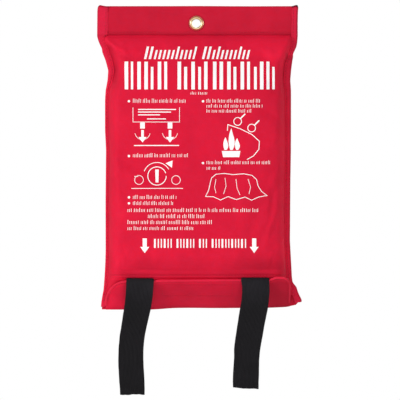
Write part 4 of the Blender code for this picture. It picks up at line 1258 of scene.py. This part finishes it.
# Hanging tails: (z, left edge x, right edge x)
TAIL_L = [(-122.786, -70.131, -43.304), (-129.443, -70.529, -43.900),
          (-142.360, -71.324, -44.894), (-154.283, -73.112, -47.080),
          (-167.200, -75.099, -50.259), (-179.123, -77.086, -52.644),
          (-191.046, -78.080, -53.836), (-203.963, -78.378, -53.836),
          (-217.874, -77.683, -52.942), (-228.803, -76.888, -52.544),
          (-235.560, -76.391, -52.544)]
TAIL_R = [(-120.501, 43.338, 70.761), (-129.443, 44.928, 71.556),
          (-139.379, 44.530, 71.159), (-150.309, 42.742, 69.966),
          (-162.232, 40.755, 67.383), (-175.149, 38.767, 64.998),
          (-189.059, 36.780, 62.415), (-201.976, 36.681, 61.123),
          (-214.893, 35.687, 61.024), (-224.829, 35.389, 60.726),
          (-229.797, 35.787, 60.527)]
ROOTS = {"left": (-70.4, -44.2), "right": (44.6, 70.6)}   # x edges of the roots


def strap_path(rim_t, z_end, seed):
    """(y, z) along a strap, with the counts of points before and through the rim turn."""
    rim_y, rim_z = slope(rim_t, 0.0)
    path = [(SEWN_Y, z) for z in np.arange(SEWN_TOP, -112.5, -1.5)]
    t_meet = (FOLD_Y + COS_LEAN * INNER_IN - SEWN_Y) / SIN_LEAN
    knee = (SEWN_Y, slope(t_meet, INNER_IN)[1])
    bend = ((SEWN_Y, knee[1] + 1.6), knee, slope(t_meet - 1.6, INNER_IN))
    path += [bezier(*bend, k / 6.0) for k in range(7)]
    path += [slope(t, INNER_IN) for t in np.arange(t_meet - 2.6, MOUTH_T + 0.6, -1.2)]
    middle, turn = (LEG_IN + INNER_IN) / 2, (INNER_IN - LEG_IN) / 2
    for k in range(13):
        a = math.pi * k / 12.0
        path.append(slope(MOUTH_T - turn * math.sin(a), middle + turn * math.cos(a)))
    path += [slope(t, LEG_IN) for t in np.arange(MOUTH_T + 1.2, rim_t - 0.7, 1.2)]
    n_root = len(path)
    for k in range(13):
        a = LEAN + (math.pi - LEAN) * k / 12.0
        path.append((rim_y + RIM_TURN * math.cos(a), rim_z + RIM_TURN * math.sin(a)))
    n_fold = len(path)
    for z in np.arange(rim_z - 1.2, z_end, -1.25):
        f = (rim_z - z) / (rim_z - z_end)
        sway = (0.9 * math.sin(math.pi * min(1.0, f * 1.2))
                + 0.5 * noise_at(0, 0, z, 23.0, seed))
        path.append((rim_y - RIM_TURN - sway * min(1.0, f * 8), z))
    path.append((rim_y - RIM_TURN, z_end))
    return np.array(path), n_root, n_fold


def around(front_row):
    """A row's values carried round the section: front, right lip, back, left lip."""
    first, last = front_row[0], front_row[-1]
    return np.concatenate([front_row, [last] * 2, front_row[::-1], [first] * 2])


def strap(tag, tail, slant, seed, drop):
    """One webbing strap: root, turn under the hem, turn over the rim, hanging tail."""
    root = ROOTS[tag]
    left = curve([(z, a) for z, a, b in tail], 5.0)
    right = curve([(z, b) for z, a, b in tail], 5.0)
    rim_t = RIM_T - drop
    rim_z = slope(rim_t, 0.0)[1]
    z_end = tail[-1][0]
    path, n_root, n_fold = strap_path(rim_t, z_end, seed)
    along = np.gradient(path, axis=0)
    along /= np.linalg.norm(along, axis=1, keepdims=True)
    across = np.linspace(-1, 1, WEB_COLS)
    lip = WEB_HALF * 0.35
    lip_x = np.concatenate([np.zeros(WEB_COLS), [0.28] * 2, np.zeros(WEB_COLS), [-0.28] * 2])
    edge_wear = np.ones(WEB_COLS + 2)
    edge_wear[[0, -3, -2, -1]] = 1.25
    edge_wear = np.tile(edge_wear, 2)
    rings, shades = [], []
    for k, ((y, z), (along_y, along_z)) in enumerate(zip(path, along)):
        if k < n_root:
            x0, x1 = root
        elif k < n_fold:
            f = (k - n_root) / (n_fold - n_root)
            x0 = root[0] + (float(left(rim_z)) - root[0]) * f
            x1 = root[1] + (float(right(rim_z)) - root[1]) * f
        else:
            x0, x1 = float(left(z)), float(right(z))
        x0 += 0.14 * noise_at(0, 0, z + k * 0.3, 5.0, seed + 3)
        x1 += 0.14 * noise_at(0, 0, z + k * 0.3, 5.0, seed + 7)
        xs = np.linspace(x0, x1, WEB_COLS)
        half = (WEB_HALF * (1 - 0.18 * np.abs(across) ** 6)
                + 0.02 * np.cos(2 * math.pi * (xs - x0) / 3.4))
        offset = np.concatenate([-half, [-lip, lip], half[::-1], [lip, -lip]])
        curl = (0.5 * clamp((k - n_fold) / 8.0) * (across ** 2 - 0.3)
                * noise_at(0, 0, z, 31.0, seed + 11))
        end_z = np.zeros(WEB_COLS)
        if k > n_fold:
            end_z = clamp(1 - (z - z_end) / 9.0) * (
                slant * across + 0.16 * np.sin(xs * 0.9 + seed)
                + 0.28 * np.sin(xs * 0.33 + seed))
        rings.append(xyz(around(xs) + lip_x, y - around(curl) - along_z * offset,
                         z + along_y * offset + around(end_z)))
        # painted highlight on the turn over the rim and on the tail just below it
        tone = 1.0
        if n_root <= k < n_fold:
            tone = 1.5
        elif k >= n_fold:
            tone = 1.0 + 0.9 * bell(z, -128, 14.0)
        shades.append(tone * edge_wear)
    # each end a little rounded, as webbing sealed with heat
    first, last = rings[0].copy(), rings[-1].copy()
    for ring, centre_y, shift in ((first, path[0][0], 0.35), (last, path[-1][0], -0.35)):
        ring[:, 1] = centre_y + (ring[:, 1] - centre_y) * 0.45
        ring[:, 2] += shift
    obj = ring_loft(f"{tag}_strap", np.array([first, *rings, last]), BLACK_WEB,
                    [shades[0], *shades, shades[-1]])
    register(obj, "black_webbing", None, f"{tag}_tab_root", f"{tag}_tab")
    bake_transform(obj)


strap("left", TAIL_L, slant=0.15, seed=3.0, drop=LEFT_DROP)
strap("right", TAIL_R, slant=-0.75, seed=8.0, drop=0.0)


def box_stitches(tag, x0, x1):
    """A sewn box round the strap's root, with one diagonal."""
    centre_x, half_x, centre_z, half_z = (x0 + x1) / 2, (x1 - x0) / 2 - 2.5, -97.0, 12.5
    corners = [(-1, -1), (1, -1), (1, 1), (-1, 1), (-1, -1), (1, 1)]
    line = []
    for (ax, az), (bx, bz) in zip(corners, corners[1:]):
        for f in np.linspace(0, 1, 14):
            line.append((centre_x + half_x * (ax + (bx - ax) * f), SEWN_Y - 0.62,
                         centre_z + half_z * (az + (bz - az) * f)))
    stitches(f"{tag}_box_stitches", line, TO_FRONT, "black", "blanket",
             f"{tag}_tab_stitching", radius=0.26)


for tag, (x0, x1) in ROOTS.items():
    box_stitches(tag, x0, x1)

# -------------------------------------------------------------------- blanket
LAYERS = 5
LAYER_PITCH, LAYER_HALF = 3.3, 1.4
BLANKET_TOP, BLANKET_BOTTOM = 87.0, -115.0
FRONT_LAYER_Y = -17.2


def blanket_line():
    """(y, z) along the blanket, folded up and down from front to back."""
    turn = LAYER_PITCH / 2
    top_turn, bottom_turn = (BLANKET_TOP - turn - LAYER_HALF,
                             BLANKET_BOTTOM + turn + LAYER_HALF)
    line = []
    for i in range(LAYERS):
        up = i % 2 == 0
        y = FRONT_LAYER_Y + LAYER_PITCH * i
        low = bottom_turn if i else BLANKET_BOTTOM + 0.4
        high = top_turn if i < LAYERS - 1 else BLANKET_TOP - 1.5
        zs = np.linspace(low, high, 60)
        line += [(y, z) for z in (zs if up else zs[::-1])]
        if i < LAYERS - 1:
            turn_z, way = (top_turn, 1) if up else (bottom_turn, -1)
            for k in range(1, 12):
                a = math.pi * k / 12.0
                line.append((y + turn - turn * math.cos(a), turn_z + way * turn * math.sin(a)))
    return np.array(line)


def blanket_ply(name, ply, offset, line):
    """One of the blanket's two plies, `offset` from its middle line."""
    cols = 46
    along = np.gradient(line, axis=0)
    along /= np.linalg.norm(along, axis=1, keepdims=True)
    normal = np.stack([-along[:, 1], along[:, 0]], axis=1)
    run = np.concatenate([[0], np.cumsum(np.linalg.norm(np.diff(line, axis=0), axis=1))])
    spacing = 0.5 - 0.5 * np.cos(np.linspace(0, np.pi, cols))
    rows = []
    for at, (y, z), (normal_y, normal_z) in zip(run, line, normal):
        wobble = (0.5 * noise_at(at, ply * 9.0, 0, 26.0, 5.0)
                  + 0.35 * noise_at(at, ply * 9.0, 3.0, 8.0, 6.0))
        x0, x1 = -77.6 + wobble - 0.35 * ply, 76.2 + 0.6 * wobble - 0.5 * ply
        rows.append(xyz(x0 + (x1 - x0) * spacing, y + normal_y * offset,
                        z + normal_z * offset))
    points = np.array(rows)
    x, y, z = axes(points)
    run_grid = np.repeat(run[:, None], cols, axis=1)
    relief = (0.12 * noise_grid(x, run_grid, 34.0, 14.0 + ply)
              + 0.05 * noise_grid(x, run_grid, 9.0, 17.0 + ply))
    y += relief * normal[:, 0:1]
    z += relief * normal[:, 1:2]
    # drawn in toward the top
    high = clamp((z - 52.0) / 35.0) ** 2
    x[:] = -0.7 + (x + 0.7) * (1 - 0.075 * high)
    y[:] = -2.6 + (y + 2.6) * (1 - 0.13 * high)
    z -= 2.5 * high * (np.abs(x) / 75.0) ** 2
    z += (0.5 * noise_grid(x, run_grid, 60.0, 4.0)
          * clamp((np.abs(z + 14) - 85) / 14))
    # painted shade at the folded ends and along the side edges
    shade = (1 - 0.12 * clamp((np.abs(z + 14) - 96) / 5)
             - 0.08 * bell(np.abs(x), 77, 2.0))
    obj = sheet(name, points, 1.05, GLASS, shade=shade)
    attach(obj, "blanket")
    return obj


line = blanket_line()
folded_blanket = blanket_ply("folded_blanket", 0, -0.70, line)
blanket_ply("folded_blanket_inner", 1, 0.70, line)
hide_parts("fire_blanket")
stitches("blanket_hem_stitches",
         xyz(np.linspace(-75.5, 74.5, 60), FRONT_LAYER_Y - LAYER_HALF + 0.02, -76.0),
         TO_FRONT, "white", "blanket", "blanket_hem_stitching", length=2.6, pitch=3.4)

# ---------------------------------------------------------------------- print
# White marks drawn as flat polygons of (x, z) in an upright plane, then cast
# from the camera's place onto the cloth.
PRINT_Y = -8.0
PRINT_CELL = 1.4                       # marks are cut this fine to follow the cloth
shapes = []
rng = random.Random(12)


def bar(x0, top, x1, bottom, slant=0.0):
    shapes.append([(x0 + slant, top), (x1 + slant, top), (x1, bottom), (x0, bottom)])


def down_arrow(x, top, neck, tip, stem, head):
    """A down arrow; stem and head are half widths."""
    shapes.append([(x - stem, top), (x + stem, top), (x + stem, neck), (x + head, neck),
                   (x, tip), (x - head, neck), (x - stem, neck)])


def stroke(points, width, closed=False):
    """A line of even width, as joined quads."""
    pts = [Vector(p) for p in points]
    n = len(pts)
    sides = []
    for i in range(n):
        before = (pts[i] - pts[i - 1] if i or closed else pts[1] - pts[0]).normalized()
        after = (pts[(i + 1) % n] - pts[i]).normalized() if i < n - 1 or closed else before
        along = (before + after).normalized()
        across = Vector((along.y, -along.x))
        scale = 1.0 / max(0.45, abs(across.dot(Vector((before.y, -before.x)))))
        reach = across * width / 2 * scale
        sides.append((pts[i] + reach, pts[i] - reach))
    for i in range(n if closed else n - 1):
        a, b = sides[i], sides[(i + 1) % n]
        shapes.append([tuple(a[0]), tuple(b[0]), tuple(b[1]), tuple(a[1])])


def arc(x, z, r, start, end, n):
    """Points of an arc; degrees run clockwise from +x."""
    angles = [math.radians(start + (end - start) * k / n) for k in range(n + 1)]
    return [(x + r * math.cos(a), z - r * math.sin(a)) for a in angles]


def dot(x, z, r=1.2, n=18):
    angles = [2 * math.pi * k / n for k in range(n)]
    shapes.append([(x + r * math.cos(a), z - r * math.sin(a)) for a in angles])


def ticks(x0, top, x1, bottom, unit):
    """A line of small upright marks in groups, like a line of small print from afar."""
    x = x0
    while x < x1 - unit * 0.6:
        for _ in range(rng.choice([2, 3, 4, 4, 5, 6, 7])):
            w = unit * rng.uniform(0.75, 1.15)
            if x + w > x1 + 0.2:
                break
            tick_top = top - (top - bottom) * rng.choice([0.0, 0.16, 0.28, 0.28])
            bar(x, tick_top, x + w * 0.35, bottom, unit * 0.10)
            x += w + unit * 0.16
        x += unit * 0.8


def upper_row():
    """Slanted marks in two groups: w a tall wide pair, t short, d tall."""
    bottom, short, tall = 97.8, 106.8, 110.2

    def slanted(x, w, top):
        bar(x + w * 0.16, top, x + w * 0.84, bottom, (top - bottom) * 0.24)

    x = -53.95
    for kind in "wtttttdtttd wtdttttdtt":
        if kind == " ":
            x += 5.2
        elif kind == "w":
            slanted(x, 3.4, tall)
            slanted(x + 4.6, 3.4, tall)
            x += 9.8
        else:
            slanted(x, 2.9, short if kind == "t" else tall)
            x += 4.3


def title_row():
    """Upright posts, tall and short."""
    bottom, tall, short = 67.6, 95.2, 90.0
    for x, w, top in (
            (-73.15, 4.6, tall), (-66.75, 3.0, tall), (-60.55, 4.6, tall),
            (-53.55, 4.6, tall), (-46.95, 3.4, short), (-40.15, 4.6, tall),
            (-33.55, 3.8, tall), (-20.35, 4.6, tall), (-13.75, 4.0, short),
            (-6.55, 4.6, tall), (0.45, 3.6, short), (6.25, 4.4, tall), (15.05, 4.6, tall),
            (21.65, 4.6, tall), (29.25, 4.6, tall), (35.65, 3.8, short),
            (42.65, 4.6, tall), (49.25, 3.8, tall), (56.25, 3.6, short),
            (62.05, 4.6, tall), (68.65, 3.8, tall), (74.45, 3.2, short)):
        bar(x + w * 0.12, top, x + w - w * 0.12, bottom)
    ticks(-6.85, 65.4, 12.15, 62.4, 1.5)


# Lines of small print: (dot before it or None, (x0, top, x1, bottom, unit))
SMALL, LARGE = 1.35, 1.5
CAPTIONS = [
    ((-68.35, 55.7), (-64.35, 58.4, -10.35, 54.2, SMALL)),
    ((5.65, 55.7), (9.15, 58.2, 64.65, 54.4, SMALL)),
    (None, (9.15, 53.0, 66.65, 49.4, SMALL)),
    (None, (9.15, 48.0, 54.65, 44.4, SMALL)),
    ((-68.35, 1.1), (-64.35, 3.8, -8.35, -0.2, SMALL)),
    ((5.65, -6.1), (9.15, -3.4, 73.65, -7.2, SMALL)),
    (None, (9.15, -9.2, 24.65, -12.8, SMALL)),
    ((-68.35, -40.4), (-64.35, -38.0, -20.35, -42.0, SMALL)),
    ((-68.35, -46.4), (-64.35, -44.2, -23.35, -48.0, SMALL)),
    (None, (-69.75, -51.0, 61.65, -55.0, LARGE)),
    (None, (-49.35, -57.0, 7.65, -61.0, LARGE)),
    (None, (-69.75, -63.0, 15.65, -67.0, LARGE)),
    (None, (-69.75, -69.2, -1.35, -73.0, LARGE)),
]


def pouch_drawing():
    """The pouch's lower edge, two tabs and two arrows."""
    stroke([(-64.35, 49.5), (-64.35, 35.0), (-17.85, 35.0), (-17.85, 49.5)], 0.54)
    for top, x0, x1 in ((48.0, -59.35, -21.35), (45.4, -59.35, -26.35),
                        (42.6, -59.35, -37.35), (38.6, -50.35, -31.35)):
        bar(x0, top, x1, top - 1.0)
    for x in (-54.85, -27.35):
        bar(x - 2.3, 34.5, x + 2.3, 28.5)
        down_arrow(x, top=27.0, neck=20.0, tip=14.5, stem=1.3, head=4.2)
        stroke(arc(x, 25.0, 7.6, 110, 170, 8), 0.48)
        stroke(arc(x, 25.0, 7.6, 10, 70, 8), 0.48)
    bar(-63.35, 12.0, -18.35, 11.0)


def flame(x, base, h, w):
    def half(t):
        return 0.5 * math.sin(math.pi * (0.12 + 0.88 * t)) ** 0.8

    shapes.append([(x - w * half(t), base + h * t) for t in np.linspace(0, 0.98, 9)]
                  + [(x + w * half(t) + w * 0.12 * math.sin(6 * t), base + h * t)
                     for t in np.linspace(0.98, 0, 9)])


def flames_drawing():
    """Flames in a pot and the outline of a cloth held by two round grips."""
    flame(28.25, 7.0, 13.0, 4.6)
    flame(34.05, 7.0, 22.0, 5.6)
    flame(39.85, 7.0, 12.0, 4.6)
    shapes.append([(24.45, 6.0), (43.05, 6.0), (41.85, -0.2), (25.65, -0.2)])
    stroke([(30.05, 26.5), (30.45, 32.5), (42.65, 28.4), (54.65, 22.4), (62.05, 15.6),
            (61.45, 7.6), (56.05, 1.0), (49.65, -2.6)], 0.78)
    for x, z in ((40.25, 35.6), (54.25, 29.0)):
        stroke(arc(x, z, 3.9, 0, 340, 17), 0.78, closed=True)
        stroke([(x + 2.9, z + 2.9), (x + 7.6, z + 7.6)], 1.32)


def knob_drawing():
    """A stove knob with a turning arrow."""
    stroke(arc(-40.35, -19.0, 9.2, 0, 342, 30), 0.78)
    shapes.append([(-42.15, -12.5), (-38.55, -12.5), (-38.95, -25.5), (-41.75, -25.5)])
    stroke(arc(-40.35, -19.0, 13.6, 200, 330, 16), 0.66)
    shapes.append([(-31.75, -6.2), (-25.35, -10.6), (-24.75, -3.5)])
    stroke([(-65.85, -31.4), (-14.35, -31.4)], 0.6)
    for k in range(4):
        bar(-62.85 + k, -19.0 - k * 0.1, -62.25 + k, -19.9)
    for x in (-58.35, -21.35):
        stroke(arc(x, -23.0, 4.4, 0, 360, 16)[:-1], 0.54, closed=True)


def cloth_drawing():
    """The cloth lying over a mound."""
    stroke([(8.15, -39.5), (11.15, -33.5), (12.65, -27.0), (14.15, -21.0), (18.65, -17.2),
            (26.65, -16.4), (35.65, -17.6), (46.65, -16.8), (54.65, -18.4),
            (59.15, -22.5), (60.65, -29.0), (64.15, -34.5), (69.65, -38.5),
            (61.15, -40.0), (54.15, -43.2), (47.65, -40.0), (39.15, -42.6),
            (30.65, -39.6), (23.15, -43.0), (16.15, -39.8)], 0.66, closed=True)
    for fold in ([(18.65, -22), (17.15, -30), (18.65, -36)],
                 [(27.65, -21), (28.65, -29), (26.15, -37)],
                 [(38.65, -22), (39.65, -31), (42.65, -38)],
                 [(50.65, -22), (53.15, -30), (51.65, -37)]):
        stroke(fold, 0.48)


def bottom_row():
    """Two down arrows and four groups of blocks."""
    for x in (-52.6, 56.8):
        down_arrow(x, top=-81.4, neck=-89.8, tip=-96.0, stem=2.05, head=4.55)
    x = -43.75
    for count in (6, 6, 3, 11):
        for i in range(count):
            bar(x + 0.4, -81.9, x + (1.5 if i % 3 else 2.2), -90.8)
            x += 3.0 if i % 3 else 3.8
        x += 2.9


def flat_marks():
    """All marks as triangles, cut along a square grid."""
    bm = bmesh.new()
    for points in shapes:
        triangles = tessellate_polygon([[Vector((a, b, 0)) for a, b in points]])
        verts = [bm.verts.new((a, 0.0, b)) for a, b in points]
        for t in triangles:
            if len(set(t)) == 3:
                bm.faces.new([verts[i] for i in t])
    for axis, low, high in ((0, -76, 80), (2, -98, 114)):
        normal = Vector((1, 0, 0)) if axis == 0 else Vector((0, 0, 1))
        for cut in np.arange(low, high, PRINT_CELL):
            near = [f for f in bm.faces if min(v.co[axis] for v in f.verts) < cut
                    < max(v.co[axis] for v in f.verts)]
            if not near:
                continue
            geom = set(near)
            for f in near:
                geom.update(f.edges)
                geom.update(f.verts)
            bmesh.ops.bisect_plane(bm, geom=list(geom), dist=1e-5, plane_co=normal * cut,
                                   plane_no=normal)
    bm.verts.index_update()
    return bm


def print_marks():
    bm = flat_marks()
    points, normals, lost = [], [], set()
    for v in bm.verts:
        direction = (Vector((v.co.x, PRINT_Y, v.co.z)) - CAMERA_AT).normalized()
        hit, normal, _, _ = front_bvh.ray_cast(CAMERA_AT, direction)
        if hit is None:
            lost.add(v.index)
            hit, normal = Vector((v.co.x, -20, v.co.z)), Vector((0, -1, 0))
        if normal.y > 0:
            normal = -normal
        points.append(tuple(hit))
        normals.append(tuple(normal))
    faces = []
    for f in bm.faces:
        ids = [v.index for v in f.verts]
        if any(i in lost for i in ids) or f.calc_area() < 1e-7:
            continue
        a, b, c = (Vector(points[i]) for i in ids[:3])
        if (b - a).cross(c - a).y > 0:
            ids.reverse()
        faces.append(tuple(ids))
    bm.free()
    # from just inside the cloth to just before its face
    shell, faces = thicken(np.array(points), faces, np.array(normals),
                           CLOTH / 2 + 0.14, CLOTH / 2 - 0.20)
    shell, faces, _ = drop_loose(shell, faces, {})
    obj = make("white_print", shell, faces, INK, sharp_angle=40)
    register(obj, "red_fabric", "pouch")


upper_row()
title_row()
for dot_at, extent in CAPTIONS:
    if dot_at:
        dot(*dot_at)
    ticks(*extent)
pouch_drawing()
flames_drawing()
knob_drawing()
cloth_drawing()
bottom_row()
print_marks()

# -------------------------------------------------------------- room and light
scene.view_settings.view_transform = "Standard"
scene.view_settings.look = "None"
scene.view_settings.exposure = 0.0
scene.view_settings.gamma = 1.0


def area(name, where, target, size, power):
    data = bpy.data.lights.new(name, "AREA")
    data.energy = power
    data.color = (1, 1, 1)
    data.size = size
    obj = bpy.data.objects.new(name, data)
    obj.location = where
    obj.rotation_euler = (Vector(target) - Vector(where)).to_track_quat("-Z", "Y").to_euler()
    scene.collection.objects.link(obj)


area("key", (-1.75, -1.30, 0.55), target=(0, 0, -0.03), size=0.85, power=25.5)
area("fill", (0.2, -2.0, -0.35), target=(0, 0, -0.06), size=1.6, power=12.0)
area("side", (1.9, -0.55, 0.25), target=(0, 0, -0.03), size=1.0, power=6.0)
area("back_light", (0.6, 1.8, 0.8), target=(0, 0, 0), size=1.4, power=26.0)


def studio():
    """White to the camera, a soft light from above to everything else."""
    world = bpy.data.worlds.new("studio")
    scene.world = world
    world.use_nodes = True
    g = Graph(world.node_tree)
    g.nodes.clear()
    output = g.add("OutputWorld")
    seen = g.add("Background", {"Color": (1, 1, 1), "Strength": 1.0})
    soft = g.add("Background", {"Strength": 0.36})
    where = g.add("TexCoord")
    parts = g.add("SeparateXYZ", {0: where.outputs["Generated"]})
    height = g.spread(parts.outputs[2], 0.55, 1.15, span=(-0.8, 0.9))
    g.feed(soft.inputs["Color"], g.gray(height))
    rays = g.add("LightPath")
    mixed = g.add("MixShader", {0: rays.outputs["Is Camera Ray"], 1: soft.outputs[0],
                                2: seen.outputs[0]})
    g.feed(output.inputs[0], mixed.outputs[0])


studio()


def floor_material():
    """Pale floor that fades out with distance."""
    mat, g = new_material("pale_floor")
    g.surface(color=(0.86, 0.86, 0.855), rough=0.85)
    where = g.add("TexCoord")
    distance = g.add("VectorMath", {0: where.outputs["Object"]}, operation="LENGTH")
    fade = g.spread(distance.outputs["Value"], 0.0, 1.0, span=(0.75, 2.0))
    clear = g.add("BsdfTransparent")
    mixed = g.add("MixShader", {0: fade, 1: g.bsdf.outputs[0], 2: clear.outputs[0]})
    g.feed(g.nodes["Material Output"].inputs[0], mixed.outputs[0])
    return mat


def add_floor():
    """A flat disc of rings."""
    rings, segments, radius, height = 24, 72, 2.2, -0.52
    bm = bmesh.new()
    before = None
    centre = bm.verts.new((0, 0, height))
    for ring in range(1, rings + 1):
        r = radius * ring / rings
        angles = [2 * math.pi * k / segments for k in range(segments)]
        current = [bm.verts.new((r * math.cos(a), r * math.sin(a), height)) for a in angles]
        for k in range(segments):
            after = (k + 1) % segments
            if before is None:
                bm.faces.new((centre, current[k], current[after]))
            else:
                bm.faces.new((before[k], current[k], current[after], before[after]))
        before = current
    mesh = bpy.data.meshes.new("floor")
    bm.to_mesh(mesh)
    bm.free()
    floor = bpy.data.objects.new("floor", mesh)
    scene.collection.objects.link(floor)
    mesh.materials.append(floor_material())


add_floor()

lens = bpy.data.cameras.new("camera")
lens.lens = 216.0
lens.sensor_width = 36.0
lens.clip_start, lens.clip_end = 0.05, 50.0
camera = bpy.data.objects.new("camera", lens)
camera.location = CAMERA_AT * MM
camera.rotation_euler = (math.pi / 2, 0, 0)
scene.collection.objects.link(camera)
scene.camera = camera

scene.frame_set(1)
bpy.context.view_layer.update()
